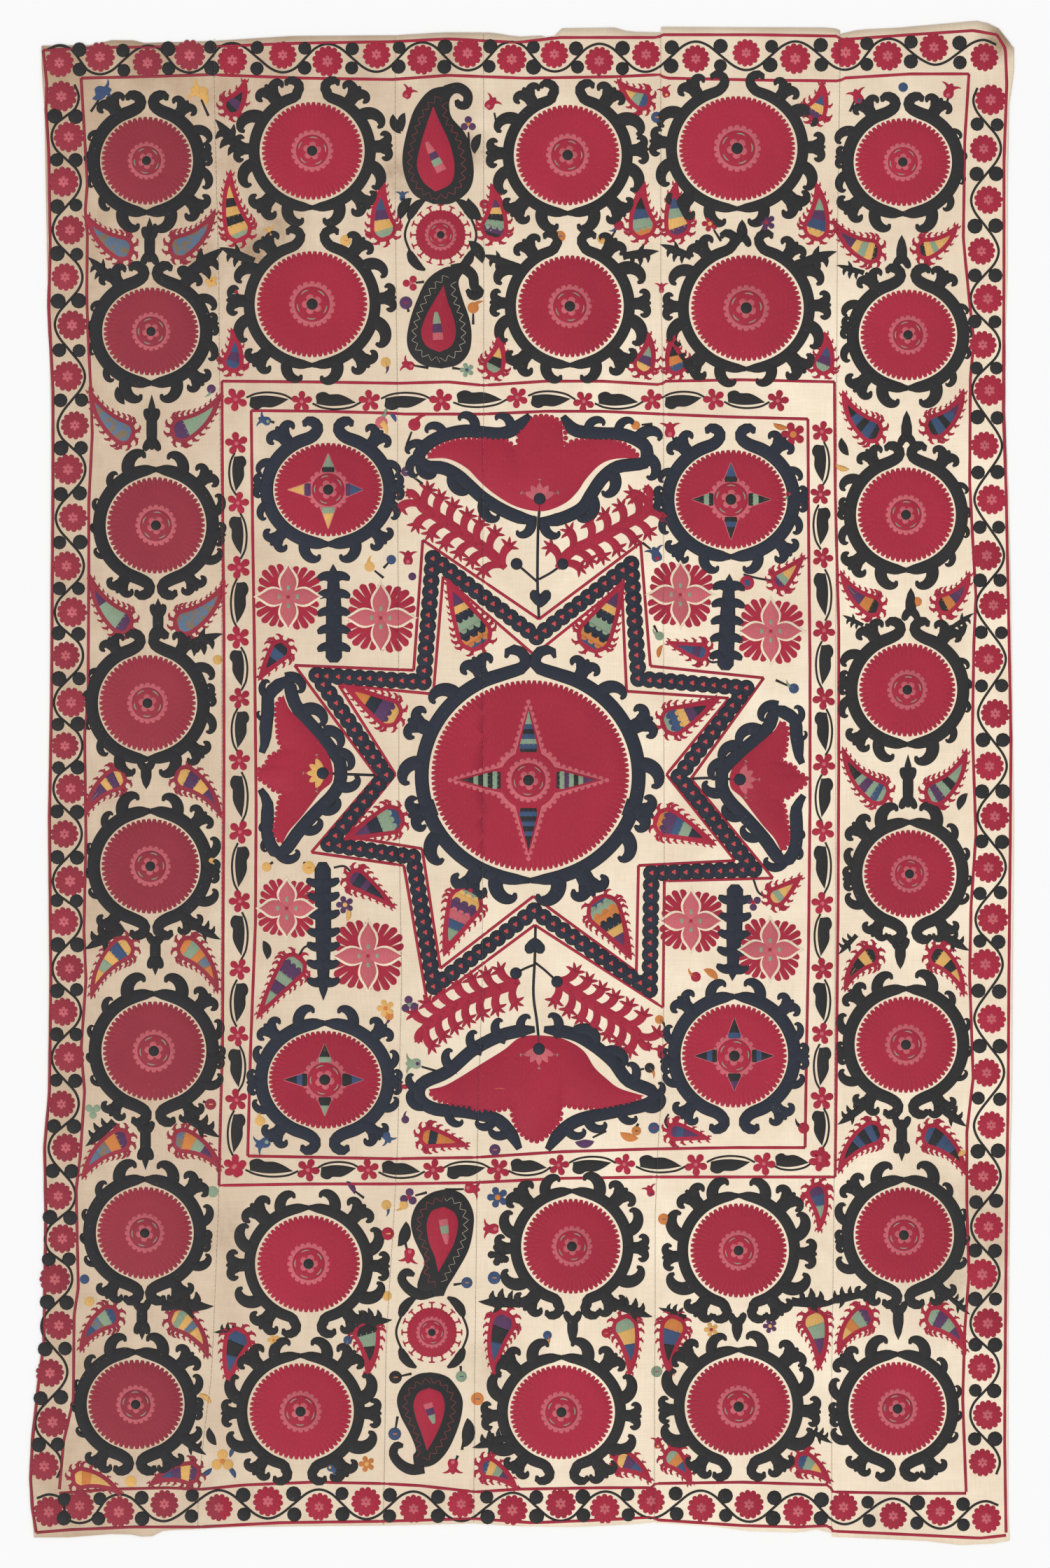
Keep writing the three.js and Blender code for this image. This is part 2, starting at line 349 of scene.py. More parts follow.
def read_mesh(mesh):
    """The marks and triangles of a cut mesh, as one patch."""
    count = len(mesh.vertices)
    marks = np.empty((count, 3 + len(VERTEX_MARKS)), np.float32)
    co = np.empty(count * 3, np.float32)
    mesh.vertices.foreach_get("co", co)
    marks[:, :3] = co.reshape(-1, 3)
    value = np.empty(count, np.float32)
    for column, name in enumerate(VERTEX_MARKS, 3):
        mesh.attributes[name].data.foreach_get("value", value)
        marks[:, column] = value
    corners = np.empty(len(mesh.loops), np.int32)
    mesh.loops.foreach_get("vertex_index", corners)
    return marks[None].astype(float), [corners.reshape(-1, 3)]


def linked(name, mesh, material, smooth=True):
    """A mesh as an object of its own in the scene, in one material."""
    mesh.materials.append(material)
    mesh.polygons.foreach_set("use_smooth", np.full(len(mesh.polygons), smooth))
    piece = bpy.data.objects.new(name, mesh)
    bpy.context.scene.collection.objects.link(piece)
    return piece


def mesh_piece(name, marks, faces, material):
    """A finished piece: the marks laid on the cloth, in metres."""
    u, v, rise = marks[:, :3].T
    place = np.stack([to_x(u), to_y(v), np.maximum(lie(u, v) + rise * MM, LOWEST)], -1)
    mesh = bpy.data.meshes.new(name)
    fill_mesh(mesh, np.concatenate([place, marks[:, 3:]], -1), faces)
    return linked(name, mesh, material)


def rails(silk, left, right, layer=0, closed=False, rise=RISE):
    """A closed shell between two rails (k, n, 2): a low dome that rounds down at both rails.

    Round each station go the left edge, a shoulder EDGE inside it, the crest, the right shoulder,
    the right edge and the root under the cotton. A band under NARROW wide leaves out the
    shoulders. Narrow stations stand lower, so points run out.
    """
    left, right = stacked(left), stacked(right)
    k, n = left.shape[:2]
    middle = (left + right) / 2
    along, over = np.gradient(middle, axis=1), right - left
    facing = (along[..., 0] * over[..., 1] - along[..., 1] * over[..., 0]).sum(1)
    swap = (facing < 0)[:, None, None]
    left, right = np.where(swap, right, left), np.where(swap, left, right)
    over = right - left
    width = size_of(over)
    inset = np.minimum(EDGE, 0.3 * width) / np.maximum(width, 1e-6)
    none = 0 * width
    share = np.stack([none, inset, none + 0.5, 1 - inset, none + 1, none + 0.5], -1)
    kept = [0, 2, 4, 5] if width.max() < NARROW else [0, 1, 2, 3, 4, 5]
    share, corners = share[..., kept], len(kept)
    plan = left[:, :, None] + share[..., None] * over[:, :, None]
    full = np.clip(width / (2.5 * EDGE), 0, 1)
    top = layer * LAYER + rise * full + rng.uniform(0, 0.02, (k, 1))
    crest = top + np.clip(0.006 * width, 0, 0.06)
    high = np.stack([none + SUNK, top, crest, top, none + SUNK, none + ROOT], -1)[..., kept]
    points = np.concatenate([plan, high[..., None]], -1)
    rim = width[..., None] * np.minimum(share, 1 - share) * GRID / MM
    rim[..., -1] = 0
    across = (share - 0.5) * width[..., None] * GRID / MM
    run = np.cumsum(size_of(np.diff(middle, axis=1, prepend=middle[:, :1])), 1)
    run = np.repeat(run[..., None], corners, -1) * GRID / MM
    i, j = np.meshgrid(np.arange(n if closed else n - 1), np.arange(corners), indexing="ij")
    here, ahead, beside = i * corners, (i + 1) % n * corners, (j + 1) % corners
    quads = np.stack([here + j, here + beside, ahead + beside, ahead + j], -1).reshape(-1, 4)
    if not closed:
        start = np.array([(2, 1, 0, corners - 1), (5, 4, 3, 2)])[: corners // 2 - 1]
        quads = np.concatenate([quads, start, start[:, ::-1] + (n - 1) * corners])
    stitch = np.stack([across, run], -1).reshape(k, -1, 2)
    silk.add(points.reshape(k, -1, 3), rim.reshape(k, -1), stitch, [quads])


def ribbon(silk, spine, half, layer=0, closed=False, rise=RISE):
    """A band of couched silk along spine (k, n, 2), half its width on each side of it."""
    spine = stacked(spine)
    half = np.broadcast_to(np.asarray(half, float), spine.shape[:2])
    along = np.roll(spine, -1, 1) - np.roll(spine, 1, 1) if closed else np.gradient(spine, axis=1)
    side = normal_of(along) * half[..., None]
    rails(silk, spine + side, spine - side, layer, closed, rise)


def blob(silk, centres, radii, layer=0, squash=(1.0, 1.0)):
    """Closed round patches: radii (k, s) or (s,) at even angles, clockwise from +u.

    Outside in: the edge, a shoulder EDGE inside it, rings every RING_STEP, and the centre; a
    fan under the cotton closes it.
    """
    centres = np.atleast_2d(np.asarray(centres, float))
    k = len(centres)
    radii = np.broadcast_to(np.atleast_2d(np.asarray(radii, float)), (k, np.shape(radii)[-1]))
    s, size = radii.shape[1], radii.max(1)[:, None]
    angle = around(s)
    shoulder = radii - np.minimum(EDGE, 0.35 * radii)
    shares = np.linspace(1, 0, max(2, int(np.ceil(size.max() / RING_STEP)) + 1))[1:-1]
    rings = [radii, shoulder]
    rings += [share * shoulder * 0.9 + share * 0.1 * size * share for share in shares]
    dome = 0.007 * np.minimum(size, 10.0)
    base = layer * LAYER + RISE + rng.uniform(0, 0.02, (k, 1))
    flat = np.ones((k, s))
    highs = [SUNK * flat, base * flat] + [(base + dome * (1 - share)) * flat for share in shares]
    rays = direction(angle) * squash
    points = [np.concatenate([centres[:, None] + ring[..., None] * rays, high[..., None]], -1)
              for ring, high in zip(rings, highs)]
    points += [np.concatenate([centres, high], 1)[:, None] for high in (base + dome, ROOT * flat[:, :1])]
    rim = np.concatenate([radii - ring for ring in rings] + [size, 0 * size], 1) * GRID / MM
    run = np.concatenate([radii * angle] * len(rings) + [np.zeros((k, 2))], 1) * GRID / MM
    i = np.arange(s)
    ahead = (i + 1) % s
    band = np.stack([i, s + i, s + ahead, ahead], -1)
    quads = np.concatenate([band + ring * s for ring in range(len(rings) - 1)])
    last, top = i + (len(rings) - 1) * s, np.full(s, len(rings) * s)
    fans = np.concatenate([np.stack([last, top, last - i + ahead], -1), np.stack([i, ahead, top + 1], -1)])
    silk.add(np.concatenate(points, 1), rim, np.stack([rim, run], -1), [quads, fans])


def disc(silk, centres, radius, sides, layer=0):
    """Plain round patches, with one radius for all or one for each."""
    blob(silk, centres, np.outer(radius, np.ones(sides)), layer)


def toothed(radius, teeth, depth, samples=4):
    """Radii of a round edge with rounded teeth: full at each tip, depth lower in each notch."""
    phase = np.tile(np.arange(samples) / samples, teeth)
    notch = np.clip(np.cos(phase * TAU), 0, 1) ** 1.5
    return radius - depth * np.roll(notch, samples // 2)


def petalled(radius, petals, waist, samples=6):
    """Radii of a flower: round petals that meet at waist between them."""
    phase = np.tile(np.arange(samples) / samples, petals)
    return waist + (radius - waist) * np.abs(np.sin(phase * np.pi)) ** 0.6


def turned(radii, samples, count):
    """The same edge for count patches, each turned by a chance part of a petal."""
    return np.stack([np.roll(radii, rng.integers(0, samples)) for _ in range(count)])


# ---- Rosettes and their collars ----

# u, v, half its size across and along, and which way its collar opens.
UP, DOWN = -1, 1
LEFT_ROSETTES = (
    (209.5, 230, 64.5, 63, UP), (216, 474, 68, 63, UP), (223, 751, 70, 69, DOWN), (211, 1005, 69, 69, UP),
    (215, 1238, 70, 68, DOWN), (220, 1502, 73, 71, DOWN), (207, 1762, 68, 66, DOWN),
    (194, 2007, 68, 64, DOWN),
)
RIGHT_ROSETTES = (
    (1289.5, 232, 68, 63, UP), (1297, 479, 68, 65, UP), (1294, 736, 69, 68, UP), (1296, 986, 69, 67, UP),
    (1299, 1249, 65, 63, DOWN), (1294, 1493, 71, 69, DOWN), (1291, 1765, 69.5, 68.5, DOWN),
    (1282, 2013, 68, 67, DOWN),
)
FIELD_ROSETTES = (
    (446, 216, 72, 70, UP), (811, 222, 74, 72, UP), (1053, 212.5, 83, 75, UP), (446, 435, 79, 76, UP),
    (814, 438, 74, 73, UP), (1066, 440.5, 79, 76, UP), (441, 1806, 73.5, 69.5, DOWN),
    (817, 1781, 69.5, 68, DOWN), (1055, 1787, 69, 67.5, DOWN), (429.5, 2017, 73, 69, DOWN),
    (802, 2018, 73.5, 67.5, DOWN), (1055, 2010, 74, 70, DOWN),
)
STAR_ROSETTES = (
    (469, 700, 77, 67, UP), (1044, 714, 79, 71, UP), (464, 1543, 80, 70, DOWN), (1049, 1509, 75, 74, DOWN),
)
HEART = (757.5, 1108.5, 141.5, 136.5)  # the large rosette in the star: u, v, across, along

TOOTH_PITCH = 8.0
PINK_OUTER, PINK_INNER = 0.435, 0.335  # the rose ring, as shares of a rosette's radius
LEAFLET_REACH = 0.245
PUPIL = 0.115


def rosette_discs(silk, rows, tooth_depth=5.4):
    """The red ground of each rosette, with teeth TOOTH_PITCH apart round its edge."""
    for row in rows:
        teeth = int(round(TAU * row[2] / TOOTH_PITCH))
        blob(silk, row[:2], toothed(row[2], teeth, tooth_depth), squash=(1.0, row[3] / row[2]))


def rosette_hearts(silks, rows, share=1.0, lift=0):
    """The rose ring with its teeth, a star of five rose petals, five pale leaflets and the dark pupil."""
    spots = np.array([row[:2] for row in rows], float)
    size = np.array([(row[2] + row[3]) / 2 for row in rows]) * share
    ring = size * PINK_INNER
    teeth = PINK_OUTER - 0.055 * (1 - toothed(1.0, 20, 1.0))
    blob(silks["rose"], spots, size[:, None] * teeth, layer=1 + lift)
    disc(silks["crimson"], spots, ring, 28, layer=2 + lift)
    circle = spots[:, None] + (ring * 0.97)[:, None, None] * direction(around(28))
    ribbon(silks["violet"], circle, 0.9, layer=3 + lift, closed=True)
    first = rng.uniform(0, TAU, len(rows))
    petals = turned(petalled(1.0, 5, 0.62, 6), 6, len(rows))
    blob(silks["rose"], spots, 0.2 * size[:, None] * petals, layer=3 + lift)
    for leaflet in range(5):
        angle = first + leaflet * TAU / 5
        middle = spots + (size * LEAFLET_REACH)[:, None] * direction(angle)
        length = size * 0.2
        start = middle - 0.5 * length[:, None] * direction(angle + TAU / 4)
        spine = curl(start, angle + TAU / 4 - 0.6, length, 1.2, count=8, ease=1.0)
        ribbon(silks["green"], spine, spindle(8, 1.0, 0.7) * (size * 0.046)[:, None], layer=4 + lift)
    disc(silks["ink"], spots, size * PUPIL, 16, layer=5 + lift)


COLLAR_GAP = 11.0  # from a rosette's teeth to the middle of its dark collar
ARM_STATIONS = 54
ARM_SHARES = (0, 0.012, 0.045, 0.1, 0.78, 0.9, 0.97, 1)
ARM_WIDTHS = (0.42, 0.5, 0.88, 1, 1, 0.9, 0.75, 0.25)
HORN = ((3, -3), (0, -10), (3.5, -17), (11, -20), (18, -17.5), (19, -12))

# The plans of what grows on a collar's arm: out from the arm, along it towards the closed end,
# and the half width there.
HOOK = ((-1, -8, 9), (9, -8, 9), (17, -4, 8.6), (22, 3, 8), (23, 10.5, 7), (19.5, 16.5, 5.4), (14, 16.5, 2))
STALK = ((-2, 0, 11), (7, 0, 9.5), (16, 0, 10), (24, 0, 10.5), (31, 0, 7), (35, 0, 2))
HORNLET = ((20, 3, 8.5), (26.5, 8, 8), (28, 15, 6.8), (23, 19.5, 5.4), (17, 17.5, 1.8))
SPRAY_STEM = (
    (-2, -4, 8), (9, -3, 7), (19, -1, 8), (29, 1, 9), (39, 2, 9), (48, 3, 7), (57, 4, 4), (66, 6, 0.6),
)
SPRAY_BARB = ((14, 0, 6), (13, 9, 5.5), (8, 18, 1))
SPRAY_LOBE = ((28, 2, 7), (28, 13, 6), (24, 23, 1.2))
SPRAY_LOW = ((41, 2, 7), (43, 12, 5.6), (40, 21, 1.2))
SPRAY_INNER = ((30, -1, 7), (37, -9, 5), (44, -15, 1))
CROWN = ((STALK, 1), (HORNLET, 1), (HORNLET, -1))
BUD_PLANS = {
    "hook": ((HOOK, 1),),
    "crown": CROWN,
    "stub": CROWN,
    "spray": ((SPRAY_STEM, 1), (SPRAY_BARB, 1), (SPRAY_LOBE, 1), (SPRAY_LOW, 1), (SPRAY_INNER, 1)),
}
STUB_SUNK = 9  # how much lower a stub stands than a crown

# What grows on each arm: its kind, its angle in degrees from the closed end, and its size.
FULL_BUDS = (
    ("hook", 19, 1.0), ("crown", 43, 1.02), ("hook", 70, 1.08), ("crown", 93, 0.9), ("hook", 119, 1.08),
    ("crown", 145, 0.95),
)
COLUMN_BUDS = (
    ("hook", 20, 1.05), ("crown", 45, 0.95), ("hook", 73, 0.8), ("stub", 96, 0.72), ("hook", 119, 0.85),
    ("crown", 148, 0.9),
)
STAR_BUDS = (
    ("hook", 18, 0.95), ("crown", 44, 0.9), ("hook", 70, 0.72), ("stub", 92, 0.8), ("hook", 114, 0.72),
    ("crown", 142, 0.95),
)
HEART_BUDS = (
    ("hook", 13, 1.25), ("crown", 29, 1.2), ("hook", 54, 1.2), ("stub", 73, 1.2), ("hook", 92, 1.25),
    ("crown", 114, 1.1), ("hook", 136, 1.15), ("crown", 154, 1.05),
)


def on_ring(row, angle, reach):
    """A place reach outside the disc, in the collar's plan: a to one side, b to the closed end."""
    return np.stack([(row[2] + reach) * np.sin(angle), (row[3] + reach) * np.cos(angle)], -1)


def collar(silk, row, buds, mouth, thick, open_end=163.0, big=1.0, hemmed=0, gap=COLLAR_GAP):
    """A scroll collar: two arms from the closed end to the mouth, each with hooks, crowns and a horn.

    Each arm follows the disc's edge at an even gap, thin at the closed end, and turns out into a
    horn at mouth from the axis. On the hemmed side there is only room for low growths.
    """
    up = row[4]
    width = thick * profile(ARM_STATIONS, ARM_SHARES, ARM_WIDTHS)
    for side in (-1, 1):
        arm = on_ring(row, np.radians(np.linspace(0, open_end, 40)), gap)
        horn = big * np.array(HORN) + (mouth + rng.uniform(-1, 2), -row[3] - gap)
        line = through(np.concatenate([arm[::3], horn]), ARM_STATIONS)
        ribbon(silk, laid(line, row[:2], mirror=side, up=up), width)
        for kind, angle, size in buds:
            if side == hemmed and 30 < angle < 135:
                kind, size = "hook", size * 0.7
            angle, size = np.radians(angle + rng.uniform(-2.5, 2.5)), size * rng.uniform(0.94, 1.06)
            root = laid(on_ring(row, angle, gap), row[:2], mirror=side, up=up)
            out = np.array([np.sin(angle) * side, -np.cos(angle) * up])
            along = np.array([-np.cos(angle) * side, -np.sin(angle) * up])
            grow(silk, kind, root, out, along, size)


def grow(silk, kind, root, out, along, size):
    """One hook, crown or leafy spray from root, out and along being its two directions."""
    for order, (plan, flip) in enumerate(BUD_PLANS[kind]):
        count = 3 * len(plan)
        p = np.asarray(plan, float) - (STUB_SUNK * (kind == "stub"), 0, 0)
        line = through(p[:, :2] * (1, flip), count)
        half = size * profile(count, np.linspace(0, 1, len(p)), p[:, 2])
        spine = root + size * (line[:, :1] * out + line[:, 1:] * along)
        ribbon(silk, spine, half, layer=0.03 + 0.02 * order)


# Each spray: u and v of its root, then of its tip.
SPRAYS = (
    (160, 402, 129, 365), (264, 400, 316, 350), (344, 220, 312, 168), (360, 376, 316, 350),
    (731, 381, 691, 361), (892, 369, 940, 355), (985, 369, 945, 346), (1141, 381, 1193, 355),
    (1232, 392, 1196, 376), (264, 927, 316, 901), (1231, 895, 1205, 877), (1362, 898, 1389, 874),
    (172, 1323, 124, 1361), (275, 1319, 313, 1346), (160, 1602, 126, 1641), (269, 1595, 311, 1629),
    (1221, 1336, 1200, 1366), (1343, 1332, 1382, 1362), (1232, 1580, 1199, 1610), (1343, 1580, 1378, 1613),
    (234, 1861, 304, 1873), (257, 2051, 292, 2082), (505, 1887, 560, 1891), (342, 1899, 306, 1907),
    (741, 1859, 684, 1865), (883, 1863, 930, 1886), (724, 2051, 677, 2073), (979, 1880, 940, 1872),
    (1133, 1857, 1191, 1868), (1157, 2042, 1187, 2065), (1225, 1848, 1180, 1865), (1358, 1852, 1383, 1881),
)
SPRAY_LENGTH = 66.0  # of the plan of a spray
LEFT_STRIPS_END, RIGHT_STRIP_START = 325, 1195  # the columns of small rosettes lie beyond these


def zone_at(u, left, middle, right):
    """Of three zones, the one that u lies in: a column of small rosettes, or what is between."""
    return left if u < LEFT_STRIPS_END else right if u > RIGHT_STRIP_START else middle


def sprays(*zones):
    """A leafy spray from each root to its tip, its barbs turned to the cloth's middle."""
    for root_u, root_v, tip_u, tip_v in SPRAYS:
        root, way = np.array([root_u, root_v], float), np.array([tip_u - root_u, tip_v - root_v], float)
        reach = size_of(way)
        out = way / reach
        along = np.array([-out[1], out[0]])
        along = along * np.sign(along[1] * (MIDDLE_V - root_v))
        grow(zone_at(root_u, *zones)["ink"], "spray", root, out, along, reach / SPRAY_LENGTH)


# ---- Botehs: drops with a hooked red fringe and a core of several colours ----


def drop_half(count, half, base=0.28):
    """Half widths of a drop from base to point: a circle up to the share base, then a taper."""
    s = np.linspace(0, 1, count)
    round_part = np.sqrt(np.clip(1 - (1 - np.clip(s / base, 0, 1)) ** 2, 0, 1))
    taper = np.clip((1 - s) / (1 - base), 0, 1) ** 0.78
    return half * np.where(s < base, round_part, taper)


FLAME = 23.0  # how far the red tip runs on beyond the core of a boteh 12 wide or more


def boteh(silks, base, tip, half, colours, bend, fringe=11.0, margin=5.5):
    """A drop from the middle of its round base to its core's tip, bent towards the upright.

    A red drop with hooks all round and a flame beyond the core; in it, bands of colour one over
    another, each with a jagged front, as the embroiderer shades one into the next.
    """
    base, tip = np.asarray(base, float), np.asarray(tip, float)
    way = tip - base
    half = 1.1 * half
    length, back = size_of(way), half + margin
    bend = bend * np.sign(way[0] * way[1])
    heading, steady = heading_of(way), 2 * bend / length
    full = back + length + FLAME * min(1.0, half / 12)
    start = base - back * direction(heading - bend - steady * back / 2)
    spine = curl(start, heading - bend - steady * back, full, steady * full, count=40, ease=1.0)[0]
    widths = drop_half(40, back, base=back / full)
    ribbon(silks["crimson"], spine, widths)
    run = np.linspace(margin, back + length, 26) / full
    core = np.stack([np.interp(run, np.linspace(0, 1, 40), spine[:, i]) for i in (0, 1)], -1)
    shaded(silks, core, drop_half(26, half, base=half / (half + length)), colours.split(), layer=1)
    along = np.gradient(spine, axis=0)
    at = even_stations(spine, widths, 9.5)
    for side in (-1, 1):
        out = side * normal_of(along[at])
        edge = spine[at] + out * (widths[at] - 1.5)[:, None]
        hooks(silks["crimson"], edge, heading_of(out), side, fringe, widths[at] / back)
    back_round = heading - bend + np.pi + np.linspace(-1.25, 1.25, 5)
    cap = base + (back - 1.5) * direction(back_round)
    hooks(silks["crimson"], cap, back_round, np.array([-1, -1, 1, 1, 1]), fringe, np.ones(5))


def even_stations(spine, widths, pitch):
    """Indexes of stations about pitch apart where the drop is wide enough for a hook."""
    widest = int(np.argmax(widths))
    run = np.linspace(widest, len(spine) - 4, max(3, int(length_of(spine[widest:]) / pitch)))
    at = np.unique(run.astype(int))
    return at[widths[at] > 1.5]


def hooks(silk, roots, out, way, length, scale):
    """Small forked hooks of the fringe: a stem, a curl one way and a short barb the other."""
    scale = np.clip(scale, 0.6, 1.0)
    way = np.broadcast_to(np.asarray(way, float), (len(roots),))
    length = length * scale
    main = curl(roots - 2.5 * direction(out), out - way * 0.35, length * 1.5, way * 2.3, count=7, ease=1.2)
    ribbon(silk, main, np.outer(scale, profile(7, (0, 0.5, 0.8, 1), (3.8, 2.9, 2.0, 0.5))), layer=0.05)
    fork = roots + 0.35 * length[:, None] * direction(out)
    barb = curl(fork, out - way * 0.7, length * 0.42, -way * 0.4, count=3)
    ribbon(silk, barb, np.outer(scale, (2.4, 2.0, 0.4)), layer=0.08)


def jag_front(silk, line, wide, layer):
    """Three teeth of the next colour, pointing back over the last one."""
    along = line[1] - line[0]
    along = along / size_of(along)
    side = np.array([along[1], -along[0]])
    reach = max(4.0, 0.55 * wide)
    for share in (-0.6, 0.0, 0.6):
        root = line[0] + side * wide * share + along * 1.0
        spine = np.stack([root, root - along * reach / 2, root - along * reach])
        ribbon(silk, spine, np.array([wide * 0.38, wide * 0.22, 0.1]), layer=layer + 0.2)


# Each boteh: the middle of its round base, its core's tip, its core's half width, and its core's
# colours from the base to the tip.
LEFT_BOTEHS = (
    (174, 355, 132, 323, 12, "dusk"), (258, 353, 299, 318, 12, "dusk"), (176, 618, 134, 573, 12, "dusk"),
    (261, 614, 306, 580, 12.5, "violet green green"),
    (173, 888, 135, 842, 12.5, "violet green green violet"), (266, 889, 313, 849, 13, "dusk"),
    (165, 1114, 129, 1148, 11, "gold violet gold violet gold"),
    (266, 1112, 308, 1150, 12, "gold violet gold violet"),
    (175, 1356, 135, 1408, 12, "gold blue gold green gold"),
    (270, 1356, 306, 1400, 12, "orange green orange dusk orange"),
    (170, 1630, 126, 1667, 12, "violet orange dusk dusk"),
    (263, 1630, 305, 1656, 12, "dusk orange green violet"),
    (155, 1882, 122, 1913, 11, "blue green dusk blue"),
    (258, 1886, 291, 1922, 12.5, "gold green gold dusk gold violet"),
    (117, 2112, 160, 2125, 10, "gold orange gold green"),
    (270, 2105, 229, 2112, 11, "violet gold violet blue"),
)
RIGHT_BOTEHS = (
    (1242, 359, 1200, 331, 12, "ink gold green gold violet ink"),
    (1324, 356, 1358, 336, 10, "ink gold green gold violet"),
    (1244, 615, 1210, 578, 12, "ink blue ink blue ink"),
    (1338, 609, 1370, 576, 12, "ink blue ink blue violet"),
    (1245, 866, 1208, 833, 10, "ink orange violet orange"),
    (1351, 863, 1379, 835, 10, "ink orange violet orange"),
    (1253, 1132, 1210, 1087, 12.5, "green blue green violet green ink green"),
    (1338, 1133, 1375, 1090, 12.5, "green violet green ink green blue"),
    (1241, 1367, 1212, 1399, 10, "ink gold ink gold"), (1341, 1367, 1372, 1405, 10.5, "ink gold ink gold"),
    (1245, 1620, 1205, 1658, 12, "ink blue ink blue ink blue"),
    (1333, 1624, 1372, 1661, 12, "blue ink blue blue ink"),
    (1231, 1884, 1203, 1916, 12, "violet green orange gold"),
    (1338, 1884, 1372, 1916, 12, "green violet green violet"),
)
# Each spear: its u, then v of its tip and of its foot.
SPEARS = (
    (214, 311, 375), (217, 564, 643), (226, 855, 908), (209, 1128, 1092), (222, 1394, 1338),
    (208, 1672, 1606), (203, 1915, 1862), (1288, 336, 377), (1295, 587, 632), (1301, 840, 880),
    (1297, 1078, 1154), (1286, 1385, 1348), (1288, 1660, 1600), (1283, 1915, 1865), (1060, 314, 344),
    (818, 1923, 1880), (1053, 1918, 1884),
)

FIELD_BOTEHS = (
    (340, 327, 328, 264, 13.5, "green gold ink gold ink gold"),
    (548, 326, 545, 281, 13, "green gold violet blue"),
    (706, 325, 707, 283, 13.8, "ink violet green ink gold violet"),
    (918, 322, 916, 281, 13.8, "orange green blue ink"), (968, 322, 963, 280, 13, "violet gold green blue"),
    (1166, 325, 1170, 282, 13, "gold blue violet green"), (333, 517, 335, 487, 9.5, "blue violet blue"),
    (706, 522, 713, 496, 10, "green ink gold"), (920, 520, 927, 494, 10, "gold violet green"),
    (966, 520, 961, 494, 10, "blue orange ink"), (1176, 520, 1181, 494, 10, "green violet blue"),
    (333, 151, 346, 131, 9.5, "ink violet ink"), (916, 143, 893, 128, 9.5, "blue green gold"),
    (1166, 158, 1174, 136, 10, "violet gold blue"), (339, 1916, 328, 1962, 13, "blue ink blue"),
    (524, 1906, 528, 1946, 13, "ink green ink"), (718, 1892, 706, 1947, 13, "violet ink blue"),
    (893, 1898, 901, 1946, 13, "green gold blue"), (962, 1898, 955, 1947, 13, "orange blue ink"),
    (1164, 1890, 1171, 1938, 13, "gold green violet"), (1167, 1706, 1172, 1742, 10, "violet blue green"),
    (699, 2098, 727, 2115, 10, "blue gold green violet"), (892, 2088, 918, 2104, 10, "gold violet blue"),
    (962, 2084, 980, 2105, 10, "green orange blue"), (1150, 2090, 1174, 2105, 10, "blue green gold"),
)

STAR_BOTEHS = (
    (677, 905, 647, 845, 19, "blue orange ink green ink gold violet"),
    (850, 907, 883, 846, 19, "blue orange ink green ink gold violet"),
    (554, 1018, 506, 988, 15, "gold violet ink orange"),
    (964, 1030, 1010, 1008, 15, "green blue gold violet ink"),
    (557, 1172, 506, 1194, 15, "blue green ink violet"),
    (954, 1176, 1004, 1198, 15, "orange violet blue green ink"),
    (664, 1292, 641, 1346, 19, "green gold violet rose blue green"),
    (864, 1304, 892, 1352, 19, "blue green orange ink gold violet"),
    (400, 930, 380, 956, 10, "ink blue ink"), (1116, 829, 1138, 807, 9, "violet green gold green"),
    (1000, 932, 966, 922, 8, "blue violet blue violet"), (1110, 1281, 1133, 1263, 9, "gold green gold ink"),
    (510, 1257, 550, 1286, 10, "violet ink violet ink violet"),
    (418, 1382, 378, 1438, 14, "green violet green violet green"),
    (614, 1625, 652, 1633, 10, "orange ink orange ink"),
    (966, 1617, 1000, 1624, 8, "violet blue violet blue"),
)


# ---- Spears between the column rosettes ----


SPEAR_BARB = 19.0


def spear(silk, u, tip, foot):
    """A dark spear: two round barbs at its foot and, on a tall one, two more half way."""
    tall, up = abs(foot - tip), np.sign(foot - tip)
    line = np.stack([np.full(20, float(u)), np.linspace(foot, tip, 20)], -1)
    ribbon(silk, line, profile(20, (0, 0.12, 0.3, 0.5, 0.8, 1), (2.5, 7.5, 8, 8, 5, 0.3)))
    for share in (0.16, 0.55) if tall > 50 else (0.18,):
        root = (u, foot + share * (tip - foot))
        for side in (-1, 1):
            turn = side * up * (1.3 if share < 0.3 else -1.5)
            barb = curl(root, (1 - side) * np.pi / 2 + 0.3 * turn, SPEAR_BARB, turn, count=9, ease=1.0)
            ribbon(silk, barb, tapering(SPEAR_BARB, 7.0, 4.6, 9), layer=0.05)


# ---- The border and the frame ----

DAISY_U_TOP = (
    85, 143, 211, 271, 332, 404, 468, 538, 603, 668, 731, 792, 856, 923, 994, 1066, 1136, 1208, 1268, 1334,
    1406,
)
DAISY_V_LEFT = (
    138, 196, 260, 329, 396, 465, 538, 608, 671, 740, 809, 875, 937, 1004, 1066, 1127, 1192, 1259, 1317,
    1384, 1446, 1511, 1578, 1640, 1709, 1770, 1828, 1894, 1962, 2032, 2095,
)
DAISY_V_RIGHT = (
    143, 213, 286, 359, 427, 493, 558, 637, 714, 794, 865, 942, 1020, 1095, 1167, 1240, 1313, 1378, 1456,
    1533, 1608, 1681, 1753, 1821, 1891, 1954, 2022, 2090,
)
DAISY_U_BOTTOM = (
    70, 114, 170, 235, 313, 383, 456, 523, 591, 659, 732, 801, 864, 930, 1002, 1070, 1140, 1205, 1276, 1343,
    1409,
)

